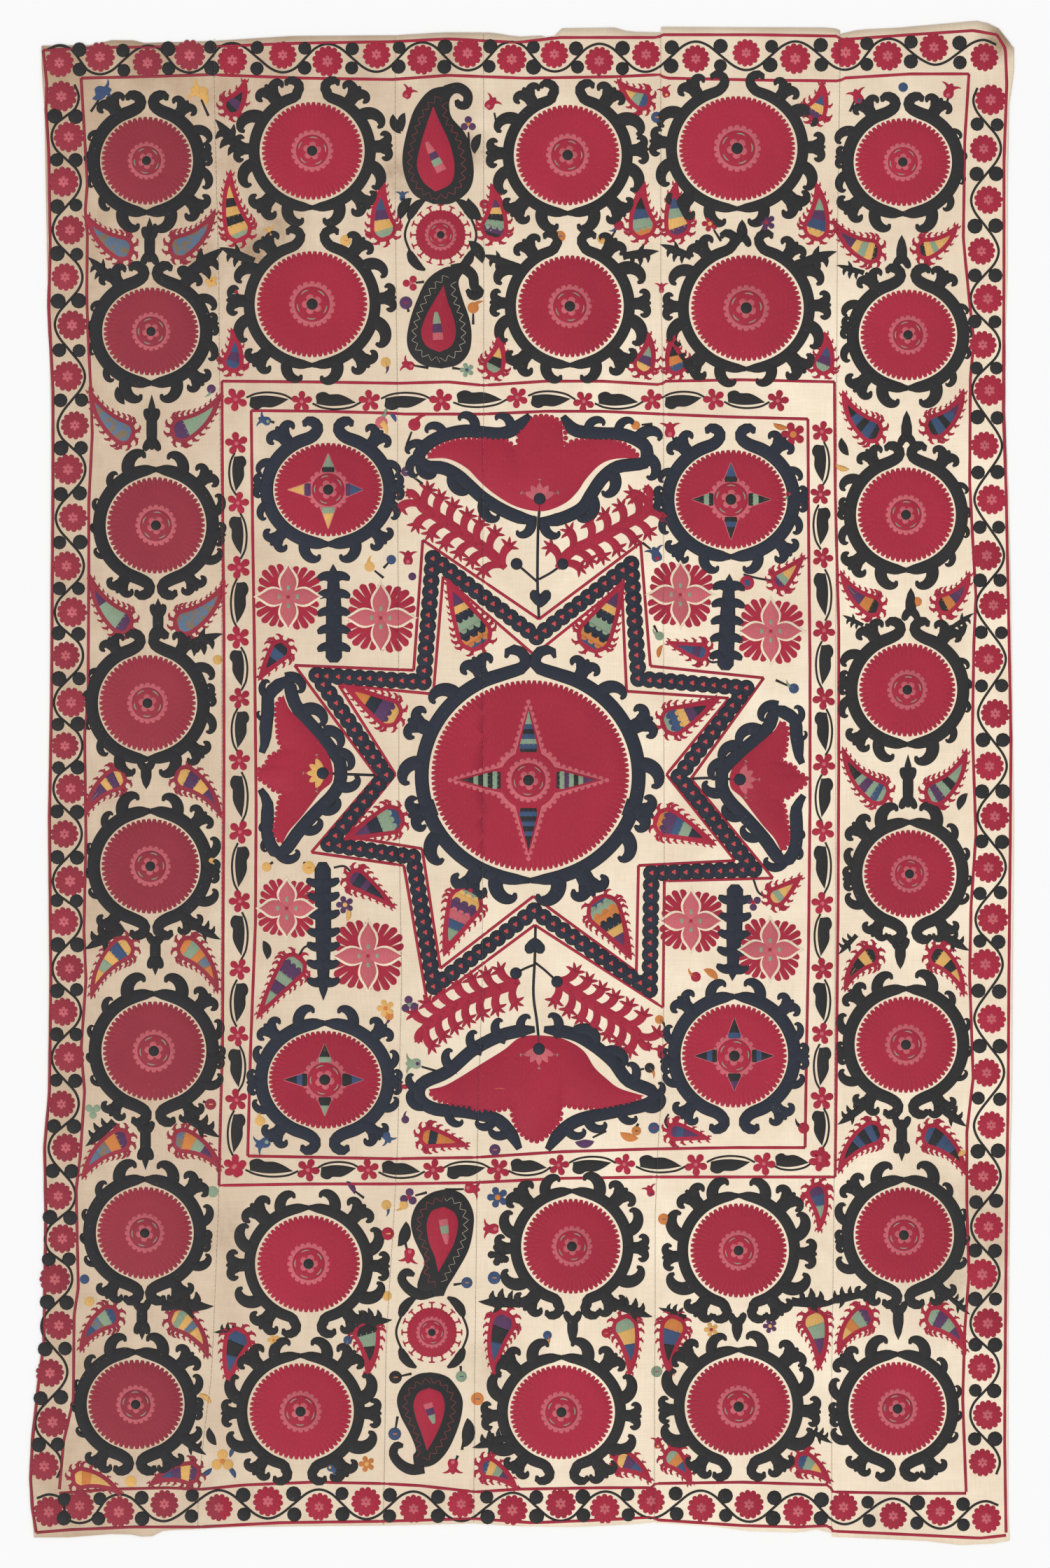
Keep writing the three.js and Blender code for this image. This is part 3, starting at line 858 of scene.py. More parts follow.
# The middle line of the border on each side of the cloth.
BORDER_TOP = (
    (60, 86), (211, 86), (306, 82), (450, 84), (565, 82), (700, 80), (880, 84), (1000, 80), (1200, 80),
    (1340, 72), (1406, 78),
)
BORDER_LEFT = (
    (88, 86), (94, 160), (96, 330), (99, 466), (103, 608), (100, 760), (97, 1100), (95, 1500), (88, 1700),
    (80, 1900), (68, 2080), (66, 2160),
)
BORDER_RIGHT = (
    (1412, 86), (1406, 360), (1408, 500), (1412, 700), (1418, 1050), (1416, 1250), (1411, 1400),
    (1414, 1550), (1408, 1700), (1406, 2000), (1409, 2160),
)
BORDER_BOTTOM = (
    (60, 2156), (170, 2156), (313, 2150), (460, 2149), (600, 2152), (700, 2154), (860, 2152), (950, 2148),
    (1070, 2154), (1180, 2156), (1276, 2162), (1420, 2166),
)

NUDGE = 4.2  # how far a daisy stands in or out of the border's middle line, by turns
DAISY = 21.5
BALL = 10.4
BALL_OUT = 14.2  # of a ball's centre from the middle line
VINE_OUT = 20.5  # how far the vine swings from the middle line round a daisy
VINE_HALF = 2.3
VINE_ASIDE = 17  # from the top of a swing to the knots at its sides
VINE_DIP = 5.5  # and how much closer to the middle line those stand
DAISY_HEART, DAISY_EYE = 0.4, 2.2  # the heart as a share of the daisy, the eye's radius


def border_runs():
    """Each side's daisies in order, as points, its inward normal and where its first one leans."""
    for axis, places, middle, inward, first in (
        (0, DAISY_U_TOP, BORDER_TOP, (0, 1), 1.0),
        (1, DAISY_V_LEFT, BORDER_LEFT, (1, 0), -1.0),
        (1, DAISY_V_RIGHT, BORDER_RIGHT, (-1, 0), -1.0),
        (0, DAISY_U_BOTTOM, BORDER_BOTTOM, (0, -1), -1.0),
    ):
        middle, places = np.asarray(middle, float), np.asarray(places, float)
        other = np.interp(places, middle[:, axis], middle[:, 1 - axis])
        line = np.stack([places, other] if axis == 0 else [other, places], -1)
        yield line, np.asarray(inward, float), first


def border(silks):
    """Daisies along each side, a vine that swings round them, and two balls at each crossing."""
    for line, inward, first in border_runs():
        count = len(line)
        sign = first * np.where(np.arange(count) % 2, -1.0, 1.0)
        spots = line + NUDGE * sign[:, None] * inward
        radius = DAISY + rng.uniform(-1.5, 1.2, count)
        blob(silks["crimson"], spots, radius[:, None] * turned(petalled(1.0, 13, 0.84, 5), 5, count))
        blob(silks["rose"], spots, (DAISY_HEART * radius)[:, None] * petalled(1.0, 6, 0.6, 4), layer=1)
        disc(silks["crimson"], spots, DAISY_EYE, 7, layer=2)
        gaps = (line[1:] + line[:-1]) / 2
        along = line[1:] - line[:-1]
        along = along / size_of(along)[:, None]
        for way in (-1, 1):
            balls = gaps + way * BALL_OUT * inward + rng.uniform(-1.2, 1.2, gaps.shape)
            disc(silks["ink"], balls, BALL * rng.uniform(0.92, 1.1, len(balls)), 12, layer=0.1)
        knots = []
        for i in range(count):
            swing = line[i] - sign[i] * inward * VINE_OUT
            aside = along[min(i, count - 2)] * VINE_ASIDE
            dip = sign[i] * inward * VINE_DIP
            knots += [swing + dip - aside, swing, swing + dip + aside, *gaps[i:i + 1]]
        ribbon(silks["ink"], through(knots, int(length_of(knots) / 4.5)), VINE_HALF)


FRAME_TOP = (
    (337, 571), (431, 574), (528, 573), (630, 573), (739, 568), (834, 574), (931, 572), (1020, 571),
    (1111, 573),
)
FRAME_LEFT = (
    (338, 634), (340, 719), (342, 811), (341, 911), (343, 998), (342, 1087), (343, 1189), (343, 1288),
    (342, 1385), (340, 1480), (338, 1572), (336, 1666),
)
FRAME_RIGHT = (
    (1174, 617), (1172, 707), (1175, 797), (1177, 901), (1177, 998), (1177, 1092), (1176, 1187),
    (1175, 1291), (1175, 1385), (1174, 1477), (1174, 1570), (1171, 1654),
)
FRAME_BOTTOM = (
    (334, 1668), (440, 1672), (526, 1672), (619, 1672), (712, 1671), (798, 1665), (892, 1664), (994, 1664),
    (1091, 1663), (1171, 1658),
)


def frame_flowers(silks):
    """Five- and six-petalled red flowers, and between each two a stem with a half-heart leaf."""
    for start_side, line in ((1, FRAME_TOP), (-1, FRAME_LEFT), (1, FRAME_RIGHT), (-1, FRAME_BOTTOM)):
        spots = np.asarray(line, float)
        count = len(spots)
        petals = np.stack([np.roll(petalled(1.0, 5 + (i % 2), 0.36, 7), rng.integers(0, 7))[:35]
                           for i in range(count)])
        blob(silks["crimson"], spots, rng.uniform(15.5, 17.5, (count, 1)) * petals)
        disc(silks["rose"], spots, 3.6, 8, layer=1)
        for i in range(count - 1):
            leaf_and_stem(silks["ink"], spots[i], spots[i + 1], start_side * (1 if i % 2 else -1))


def leaf_and_stem(silk, here, there, side):
    """A stem from one flower to the next, bowed to one side, and a half-heart leaf inside its bow."""
    way = there - here
    heading = heading_of(way)
    forward, aside = direction(heading) * size_of(way), direction(heading + side * np.pi / 2)

    def line(points, count):
        return through([here + forward * share + aside * off for share, off in points], count)

    ribbon(silk, line(((0.16, 3), (0.3, 9), (0.5, 11.5), (0.72, 9), (0.87, 2)), 18), 1.9, layer=0.1)
    rails(silk, line(((0.22, 4), (0.4, 7), (0.6, 6.5), (0.80, 3.0)), 20),
          line(((0.22, 0), (0.21, -9), (0.29, -13.5), (0.36, -13), (0.41, -10), (0.55, -10), (0.68, -5),
                (0.80, 2.4)), 20))


# Red guard lines, along their middles. Each is worked strip by strip.
GUARD_HALF = 2.7
GUARDS = (
    # the border's inner line
    ((116, 112), (200, 110), (300, 107), (430, 112), (560, 114), (640, 108), (750, 112), (880, 110),
     (944, 107), (950, 112), (1100, 115), (1200, 116), (1204, 112), (1300, 106), (1384, 106)),
    ((116, 112), (122, 212), (125, 264), (122, 300), (125, 336), (124, 424), (126, 480), (130, 560),
     (132, 620), (127, 720), (127, 820), (126, 1000), (121, 1050), (123, 1200), (120, 1330), (123, 1400),
     (116, 1500), (121, 1560), (115, 1650), (109, 1700), (112, 1840), (106, 1880), (105, 2000), (91, 2060),
     (85, 2128)),
    ((1384, 106), (1378, 200), (1376, 340), (1379, 373), (1384, 423), (1391, 489), (1386, 540),
     (1385, 690), (1389, 766), (1394, 853), (1391, 920), (1389, 1047), (1394, 1192), (1387, 1294),
     (1385, 1396), (1390, 1541), (1381, 1617), (1381, 1720), (1384, 1822), (1378, 1900), (1375, 2000),
     (1380, 2132)),
    ((85, 2134), (160, 2128), (240, 2126), (283, 2128), (290, 2128), (350, 2122), (450, 2118), (545, 2120),
     (600, 2123), (680, 2132), (740, 2128), (860, 2126), (930, 2126), (936, 2120), (1060, 2118),
     (1184, 2122), (1190, 2132), (1290, 2134), (1380, 2134)),
    # the border's outer line
    ((62, 72), (160, 68), (300, 67), (430, 62), (560, 60), (640, 56), (740, 61), (800, 54), (940, 54),
     (946, 50), (1080, 50), (1196, 52), (1202, 57), (1300, 50), (1390, 44), (1424, 50)),
    ((62, 72), (67, 120), (66, 156), (70, 220), (72, 350), (70, 440), (76, 560), (76, 700), (75, 830),
     (74, 1000), (71, 1170), (73, 1400), (71, 1560), (64, 1640), (66, 1736), (64, 1860), (63, 1920),
     (55, 1980), (47, 2056), (44, 2114), (47, 2158), (52, 2190)),
    ((1424, 50), (1436, 70), (1438, 120), (1434, 230), (1434, 400), (1433, 590), (1437, 700), (1441, 900),
     (1444, 1060), (1443, 1200), (1441, 1400), (1440, 1560), (1438, 1700), (1436, 1900), (1435, 2060),
     (1437, 2190)),
    ((52, 2190), (100, 2186), (190, 2182), (283, 2182), (400, 2176), (545, 2174), (677, 2170), (760, 2176),
     (860, 2172), (932, 2168), (940, 2172), (1060, 2180), (1140, 2182), (1184, 2180), (1190, 2188),
     (1320, 2194), (1400, 2198), (1437, 2194)),
    # the frame's outer and inner lines
    ((317, 545), (440, 546), (569, 548), (640, 546), (690, 551), (780, 545), (860, 545), (944, 550),
     (950, 545), (1060, 543), (1192, 546)),
    ((317, 545), (318, 700), (320, 900), (320, 1100), (319, 1300), (318, 1500), (315, 1600), (313, 1694)),
    ((1192, 546), (1193, 700), (1198, 900), (1198, 1100), (1197, 1300), (1195, 1500), (1193, 1682)),
    ((313, 1694), (440, 1692), (560, 1692), (680, 1690), (800, 1684), (930, 1682), (1060, 1682),
     (1193, 1682)),
    ((359, 587), (460, 588), (568, 591), (574, 592), (690, 592), (780, 588), (860, 588), (944, 592),
     (1040, 596), (1154, 599)),
    ((359, 587), (361, 760), (364, 950), (366, 1150), (365, 1320), (358, 1500), (354, 1652)),
    ((1154, 599), (1155, 760), (1157, 950), (1157, 1150), (1155, 1350), (1152, 1500), (1150, 1640)),
    ((354, 1652), (460, 1654), (560, 1656), (680, 1654), (800, 1646), (930, 1642), (1050, 1640),
     (1150, 1640)),
)


def guard_lines(silk):
    """Each guard line, a little uneven in width: a sine along its length."""
    for points in GUARDS:
        count = int(length_of(points) / 7)
        wobble = 0.45 * np.sin(np.arange(count) * 0.9 + rng.uniform(0, 6))
        ribbon(silk, even(points, count), GUARD_HALF + 0.25 * wobble)


# ---- The star, its beads and what stands round it ----

STAR_OUTER = (
    (604, 772), (770, 885), (915, 776), (929, 952), (1091, 969), (987, 1113), (1104, 1255), (949, 1259),
    (947, 1440), (764, 1322), (611, 1436), (577, 1237), (445, 1218), (538, 1109), (421, 951), (591, 958),
)
STAR_INNER = (
    (633, 824), (763, 936), (888, 836), (895, 988), (1041, 998), (952, 1107), (1050, 1230), (912, 1237),
    (909, 1389), (762, 1281), (629, 1384), (603, 1213), (494, 1195), (565, 1107), (484, 979), (619, 992),
)
BEAD = 12.4
BEAD_PITCH = 16.0


def star(silks):
    """A red line, a band of dark beads with a coral stitch in each, and a red line inside it."""
    outer, inner = np.asarray(STAR_OUTER, float), np.asarray(STAR_INNER, float)
    for edge in (outer, inner):
        for side in zip(edge, np.roll(edge, -1, 0)):
            ribbon(silks["crimson"], even(side, 22), GUARD_HALF)
    middle = (outer + inner) / 2
    beads = []
    for side in zip(middle, np.roll(middle, -1, 0)):
        run = even(side, int(round(length_of(side) / BEAD_PITCH)) + 1)
        ribbon(silks["ink"], run, BEAD * 0.72)
        beads.append(run[:-1])
    beads = np.concatenate(beads)
    disc(silks["ink"], beads, BEAD, 14, layer=0.2)
    stitches = beads + rng.uniform(-0.8, 0.8, beads.shape)
    blob(silks["coral"], stitches, petalled(4.3, 3, 2.4, 4), layer=2)


# Each quatrefoil: u, v and how far it reaches.
QUATREFOILS = (
    (412, 853, 48), (544, 883, 51), (972, 850, 48), (1101, 902, 48), (410, 1298, 43), (526, 1366, 52),
    (987, 1316, 46), (1100, 1357, 46),
)


def feathered(radius, fingers, depth, samples=8):
    """Radii of a round cut into rounded fingers by narrow slits, wider at its four corners."""
    place = np.arange(fingers * samples)
    phase = place % samples / samples
    corner = 1 - 0.08 * np.cos(4 * TAU * place / len(place))
    tip = 1 - 0.10 * np.abs(2 * phase - 1) ** 2
    return radius * corner * np.where(phase == 0, 1 - depth, tip)


# Half widths of a pointed petal: broad at its foot, widest below its middle, hollow to its tip.
PETAL_SHARES = (0, 0.2, 0.32, 0.45, 0.6, 0.75, 0.88, 1)
PETAL_WIDTHS = (0.5, 0.82, 0.96, 1, 0.84, 0.5, 0.2, 0.02)
PETAL_BANDS = (("cream", 15.5, 3.0, 1), ("rose", 12.6, -1.5, 2))  # half width, extra reach, layer


def quatrefoils(silks):
    """Four pointed rose petals edged in cream on a red ground of rounded fingers."""
    for u, v, size in QUATREFOILS:
        centre = np.array([u, v], float)
        blob(silks["crimson"], centre, np.roll(feathered(size + 1, 24, 0.38), 4))
        for angle in around(4):
            start = centre + direction(angle) * 2
            for name, half, more, layer in PETAL_BANDS:
                petal = curl(start, angle, size - 2 + more, 0.0, count=18)
                ribbon(silks[name], petal, half * profile(18, PETAL_SHARES, PETAL_WIDTHS), layer=layer)
            blob(silks["green"], centre + direction(angle) * 13, petalled(4.3, 2, 2.6, 5), layer=3)
        disc(silks["crimson"], centre, 2.6, 8, layer=3)


# ---- Compass stars on five rosettes ----

# Each compass: u, v, half a point's width, where its points start, how far they reach and their
# colours, both from the upper one clockwise.
NIGHT = "ink blue ink blue"
MEADOW = "ink green ink green"
COMPASSES = (
    (755, 1115, 13.5, 40, (99, 96, 99, 97),
     ("ink blue green blue", "ink green violet green", NIGHT, MEADOW)),
    (469, 700, 10, 25, (52, 50, 56, 58),
     ("ink green gold", "violet blue ink", "green gold ink", "violet gold orange")),
    (1044, 714, 10, 25, (53, 58, 58, 56), ("ink blue green", MEADOW, NIGHT, MEADOW)),
    (464, 1543, 10, 25, (52, 56, 52, 59), ("green ink green", "ink blue", "ink green", NIGHT)),
    (1049, 1509, 10, 25, (55, 57, 50, 58), ("blue ink violet", NIGHT, "ink violet", NIGHT)),
)


HEART_MIDDLE = (755, 1115)
HEART_TIP, HEART_RING, HEART_SLOPE = 112.0, 48.0, 0.31


def heart_star(silks):
    """The rose outline of the heart's star: a scalloped ring with four straight-sided points."""
    angle = around(480)
    off = np.abs((angle + TAU / 8) % (TAU / 4) - TAU / 8)
    point = HEART_TIP * HEART_SLOPE / (np.sin(off) + HEART_SLOPE * np.cos(off))
    radii = np.maximum(point, HEART_RING)
    outline = HEART_MIDDLE + radii[:, None] * direction(angle)
    teeth = even(np.concatenate([outline, outline[:1]]), 77)[:-1]
    disc(silks["rose"], teeth, 4.2, 9, layer=1)
    blob(silks["rose"], HEART_MIDDLE, radii, layer=1)
    blob(silks["crimson"], HEART_MIDDLE, radii - 5.6, layer=2)


def compasses(silks):
    """Four pointed leaves round a rosette's heart, in bands of two or three colours."""
    for u, v, half, start, reaches, colours in COMPASSES:
        large = half > 12
        for quarter, (reach, hues) in enumerate(zip(reaches, colours)):
            run = np.linspace(start, reach, 26)[:, None]
            line = (u, v) + direction((quarter - 1) * TAU / 4) * run
            wide = half * profile(26, (0, 0.15, 1), (0.9, 1.0, 0.05))
            if not large:
                ribbon(silks["rose"], line, wide + 1.2, layer=1)
            shaded(silks, line, wide, hues.split() * (2 if large else 1), layer=3)


def shaded(silks, line, half, colours, layer=1):
    """Bands of colour along a line, each over the last and with a jagged front."""
    for step, hue in enumerate(colours):
        first = int(step / len(colours) * (len(line) - 3))
        if first:
            jag_front(silks[hue], line[first:], half[first], layer + step * 0.3)
        ribbon(silks[hue], line[first:], half[first:], layer=layer + step * 0.3)


# ---- The bells that fill the star's four sides ----

# Each bell: its toothed edge, its smooth edge, its dark arms and its dark curls. A curl is u, v,
# its heading in degrees, its length and its turn in radians.
ARM_HALF = 9.6
MOUTH_PITCH, MOUTH_TOOTH = 7.6, 3.9  # the teeth along a bell's mouth
HOOK_LENGTH = 31  # how long a curl is at the size of a hook's plan

TOP_BELL = (
    ((609, 656), (623, 641), (649, 630), (686, 628), (719, 628), (739, 641), (740, 626), (744, 613),
     (752, 601), (771, 595), (792, 598), (805, 610), (808, 626), (804, 641), (818, 631), (852, 628),
     (881, 631), (901, 641), (915, 656)),
    ((609, 656), (639, 656), (666, 669), (686, 689), (706, 706), (732, 722), (759, 730), (782, 730),
     (808, 719), (825, 703), (838, 684), (858, 664), (881, 656), (915, 656)),
    (((757, 594), (735, 613), (716, 620), (696, 619), (666, 616), (639, 621), (616, 631), (603, 643),
      (598, 656), (610, 667), (633, 669), (653, 679), (669, 693), (689, 711), (712, 726), (735, 737),
      (752, 742), (767, 743)),
     ((772, 744), (789, 744), (808, 739), (832, 726), (845, 706), (861, 683), (881, 668), (905, 664),
      (922, 660), (923, 640), (908, 628), (888, 621), (861, 620), (835, 618), (818, 613), (804, 595))),
    ((672, 612, -95, 26, -2.6), (722, 614, -85, 26, -2.6), (628, 622, -120, 24, -2.0),
     (602, 644, 215, 24, -1.2), (600, 660, 150, 26, -2.4), (606, 664, 80, 24, -1.0),
     (655, 680, 95, 30, -1.3), (700, 718, 105, 30, -2.6), (750, 742, 75, 28, 2.6),
     (786, 744, 100, 28, -2.6), (838, 716, 75, 32, 2.8), (866, 680, 55, 32, 3.0), (920, 660, 30, 30, 3.0),
     (918, 634, -60, 32, 2.6), (890, 618, -85, 24, 2.4), (846, 616, -75, 24, 2.4)),
)
BOTTOM_BELL = (
    ((612, 1557), (624, 1571), (659, 1581), (689, 1587), (721, 1585), (734, 1578), (731, 1590),
     (737, 1608), (747, 1622), (766, 1631), (785, 1619), (801, 1598), (802, 1580), (828, 1583),
     (876, 1582), (905, 1573), (920, 1566)),
    ((612, 1557), (640, 1549), (691, 1518), (720, 1500), (747, 1481), (790, 1481), (815, 1489),
     (835, 1503), (849, 1525), (866, 1541), (885, 1555), (920, 1566)),
    (((764, 1471), (738, 1474), (710, 1482), (675, 1501), (640, 1531), (603, 1549), (600, 1571),
      (622, 1585), (667, 1589), (710, 1600), (731, 1622), (742, 1642)),
     ((777, 1471), (817, 1477), (847, 1493), (876, 1517), (897, 1544), (932, 1560), (927, 1577),
      (881, 1588), (828, 1600), (801, 1618), (782, 1643))),
    ((756, 1474, 225, 26, 2.6), (725, 1478, 200, 28, 2.4), (690, 1494, 195, 28, 2.4),
     (655, 1520, 195, 28, 2.4), (604, 1549, 175, 26, 2.4), (604, 1574, 185, 26, 2.2),
     (648, 1588, 95, 24, -2.0), (700, 1597, 120, 24, 2.4), (722, 1610, 130, 26, 2.0),
     (785, 1474, -45, 28, -2.6), (826, 1482, -20, 32, 2.8), (868, 1512, -20, 30, 2.6),
     (896, 1542, -40, 26, -2.0), (928, 1560, 5, 24, -2.6), (926, 1576, 10, 26, -2.4),
     (893, 1586, 80, 24, -2.0), (846, 1597, 70, 26, -2.2), (816, 1610, 60, 24, -2.2)),
)
LEFT_BELL = (
    ((405, 993), (395, 1009), (396, 1035), (398, 1058), (403, 1071), (386, 1081), (379, 1094), (369, 1101),
     (370, 1112), (382, 1121), (394, 1131), (404, 1131), (399, 1144), (395, 1167), (392, 1190),
     (403, 1207)),
    ((405, 993), (413, 1012), (426, 1026), (443, 1043), (457, 1058), (468, 1075), (474, 1091), (476, 1106),
     (473, 1119), (459, 1131), (443, 1152), (428, 1171), (413, 1188), (403, 1207)),
    (((374, 1076), (379, 1060), (380, 1039), (383, 1014), (383, 995), (398, 979), (412, 976), (420, 1003),
      (434, 1024), (449, 1041), (462, 1056), (475, 1073), (485, 1087), (487, 1106), (485, 1121),
      (474, 1138), (457, 1155), (440, 1173), (424, 1192), (410, 1212), (398, 1220), (386, 1207),
      (382, 1188), (382, 1167), (382, 1146), (372, 1128)),),
    ((384, 990, 225, 20, 1.2), (410, 976, -10, 28, 2.4), (379, 1024, 175, 14, 0.6),
     (437, 1023, -15, 32, 3.2), (464, 1053, -5, 30, 3.2), (484, 1082, 10, 26, 3.0),
     (486, 1112, 40, 30, -3.4), (462, 1150, 20, 26, -2.4), (436, 1178, 25, 26, -2.4),
     (404, 1216, 45, 26, -2.6), (384, 1204, 150, 16, -1.0), (382, 1180, 180, 14, -0.6)),
)


LEFT_SPOT, RIGHT_SPOT = (366, 1106), (1154, 1114)  # a place on the left bell and its match on the right


def mirrored_bell():
    """The bell on the right: the left one turned over, lower above its middle than the left."""

    def over(points):
        off = np.asarray(points, float) - LEFT_SPOT
        down = off[:, 1] * np.where(off[:, 1] < 0, 0.75, 1.03)
        return np.stack([RIGHT_SPOT[0] - off[:, 0] * 1.02, RIGHT_SPOT[1] + down], -1)

    outer, inner, arms, curls = LEFT_BELL
    turned_over = []
    for u, v, heading, length, turn in curls:
        (u, v), = over([(u, v)])
        turned_over.append((u, v, 180 - heading, length, -turn))
    return over(outer), over(inner), tuple(over(arm) for arm in arms), turned_over


def crosswise(points, axis, count):
    """A line through points at even steps along one axis, so two such lines face each other."""
    line = through(points, 400)
    order = np.argsort(line[:, axis], kind="stable")
    at = np.linspace(line[order[0], axis], line[order[-1], axis], count)
    other = np.interp(at, line[order, axis], line[order, 1 - axis])
    return np.stack([at, other] if axis == 0 else [other, at], -1)


def teeth_on(silk, points, pitch, reach):
    """Small round teeth set along a line, on its edge."""
    line = through(points, 300)
    disc(silk, even(line, int(length_of(line) / pitch))[1:-1], reach, 9)


def bell(silks, shape, axis):
    """A red bell, toothed along its mouth, in a dark band with curls; its mouth runs along axis."""
    outer, inner, arms, curls = shape
    rails(silks["crimson"], crosswise(outer, axis, 110), crosswise(inner, axis, 110))
    teeth_on(silks["crimson"], outer, MOUTH_PITCH, MOUTH_TOOTH)
    for arm in arms:
        ribbon(silks["ink"], through(arm, 46), ARM_HALF * profile(46, (0, 0.06, 0.94, 1), (0.5, 1, 1, 0.5)))
    for u, v, heading, length, turn in curls:
        heading = np.radians(heading)
        aside = direction(heading + np.sign(turn) * TAU / 4)
        grow(silks["ink"], "hook", np.array([u, v]), direction(heading), aside, length / HOOK_LENGTH)


# Stems from the star's notches to the bells, as points.
STEMS = (
    ((770, 885), (768, 840), (768, 790), (769, 750), (771, 722)),
    ((765, 1324), (764, 1370), (762, 1420), (767, 1460), (770, 1490)),
    ((537, 1108), (510, 1107), (480, 1106), (468, 1105)),
    ((988, 1113), (1010, 1112), (1034, 1113), (1050, 1114)),
)
# Each half flower: u, v, its heading in degrees and its colour.
HALF_FLOWERS = (
    (771, 713, -90, "rose"), (770, 1499, 90, "rose"), (461, 1105, 180, "gold"), (1057, 1114, 0, "rose"),
)
# Each side ball's stalk; the ball stands on its last point.
SIDE_BALLS = (
    ((768, 832), (752, 818), (738, 806)), ((770, 828), (788, 818), (804, 806)),
    ((765, 1378), (750, 1384), (737, 1391)), ((765, 1376), (780, 1388), (796, 1403)),
)
# Stalks of the botehs in the frame's corners.
STALKS = (
    ((477, 1240), (492, 1238), (503, 1248)), ((449, 1355), (436, 1353), (425, 1369)),
    ((1026, 946), (1015, 946), (1005, 937)), ((1076, 1256), (1084, 1276), (1099, 1283)),
    ((1062, 821), (1080, 826), (1102, 830)), ((955, 1592), (950, 1603), (955, 1613)),
)
STEM_LEAVES = (  # the root of each, its heading in degrees and its length
    ((772, 868), -65, 27), ((772, 868), -115, 27), ((764, 1340), 65, 25), ((764, 1340), 115, 25),
)


def bell_stems(silks):
    """The stems with their half flowers and leaves, the botehs' stalks and the side balls."""
    for points in STEMS:
        ribbon(silks["ink"], through(points, 20), 2.4, layer=1.2)
    for u, v, heading, hue in HALF_FLOWERS:
        heading = np.radians(heading)
        disc(silks["ink"], (u, v), 9.4, 16, layer=2)
        for spread in (-1.15, -0.58, 0.0, 0.58, 1.15):
            petal = curl((u, v), heading + spread, 23.0, 0.0, count=9)
            ribbon(silks[hue], petal, 0.85 * np.array([3, 5, 6, 6.5, 6.5, 6.2, 5.5, 4, 1.0]), layer=1)
        for spread in (-1.25, 0.0, 1.25):
            out = heading + spread
            across = out + np.pi / 2
            head = (u, v) + 28 * direction(out)
            ribbon(silks["green"], curl(head - 6 * direction(out), out, 7.0, 0.0, count=4), 1.4, layer=1)
            cross = curl(head - 4 * direction(across), across, 8.0, 0.5, count=5)
            ribbon(silks["green"], cross, spindle(5, 2.2, 0.6) + 0.4, layer=1.1)
    for points in STALKS:
        ribbon(silks["ink"], through(points, 10), 2.0, layer=0.2)
    for points in SIDE_BALLS:
        ribbon(silks["ink"], through(points, 8), 2.2, layer=0.2)
        disc(silks["ink"], points[-1], 8.8, 16, layer=1.3)
    for root, heading, length in STEM_LEAVES:
        leaf = curl(root, np.radians(heading), length, 0.0, count=12)
        ribbon(silks["ink"], leaf, profile(12, (0, 0.3, 0.65, 0.9, 1), (1.5, 6, 8.4, 6, 1)), layer=0.1)


BRANCHES = (
    ((597, 714), (604, 725), (633, 744), (666, 766), (699, 789), (722, 812)),
    ((928, 714), (921, 733), (881, 756), (848, 773), (815, 789), (796, 812)),
    ((604, 1471), (624, 1455), (654, 1436), (689, 1421), (721, 1411), (742, 1402)),
    ((914, 1486), (908, 1475), (881, 1456), (849, 1437), (817, 1416), (792, 1398)),
)
PLUME, END_PLUME = 42.0, 22.0  # how long a plume is along a branch and at its foot


def coral_branches(silk):
    """A thick red stem with plumes by turns on both sides, each with fingers and a crescent barb."""
    for points in BRANCHES:
        spine = through(points, 60)
        ribbon(silk, spine, profile(60, (0, 0.08, 0.9, 1), (5, 8, 8, 4.5)))
        heading = heading_of(np.gradient(spine, axis=0))
        for side in (-1, 1):
            at = np.linspace(3 if side > 0 else 7, 57, 7).astype(int)
            plumes(silk, spine[at], heading[at] + np.pi - side * 0.6, side, PLUME)
        plumes(silk, spine[:1], heading[:1] + np.pi, 1, END_PLUME)


def plumes(silk, roots, out, side, length):
    """A thick stalk that ends in four fingers, with a crescent barb under it."""
    stalk = curl(roots, out, length * 0.78, -side * 1.3, count=8)
    ribbon(silk, stalk, np.array([5, 5.2, 5.4, 5.6, 6, 6.4, 6.6, 5.8]), layer=0.05)
    head, facing = stalk[:, -2], out - side * 1.0
    for turn in (-1.25, -0.55, 0.1, 0.75):
        finger = curl(head, facing + turn, length * 0.38, turn * 0.5, count=5)
        ribbon(silk, finger, np.array([3.8, 3.6, 3.2, 2.4, 0.6]), layer=0.1)
    barb = curl(stalk[:, 4], facing + side * 1.5, length * 0.4, -side * 2.4, count=8, ease=0.8)
    ribbon(silk, barb, np.array([3.2, 3.2, 3, 2.8, 2.4, 2, 1.3, 0.4]), layer=0.08)


CYPRESSES = (
    ((477, 947), (477, 880), (476, 806)), ((1036, 958), (1039, 890), (1042, 820)),
    ((461, 1232), (462, 1330), (462, 1430)), ((1050, 1264), (1049, 1330), (1046, 1402)),
)
BARB_PITCH, BARB = 25.0, 27.0  # of a cypress


def cypresses(silk):
    """A dark tree from its foot to its tip, with pairs of rounded, drooping barbs."""
    for points in CYPRESSES:
        spine = through(points, 40)
        ribbon(silk, spine, profile(40, (0, 0.05, 0.55, 0.8, 0.93, 1), (6, 12, 11.5, 9, 6, 0.3)))
        at = np.linspace(5, 33, int(length_of(spine) / BARB_PITCH)).astype(int)
        heading = heading_of(np.gradient(spine, axis=0)[at])
        for side in (-1, 1):
            barb = curl(spine[at], heading + side * 0.8, BARB, side * 1.9, count=9, ease=1.1)
            ribbon(silk, barb, tapering(BARB, 9.5, 4.2, 9), layer=0.08)


# ---- The paisleys and small rosettes of the narrow strip ----

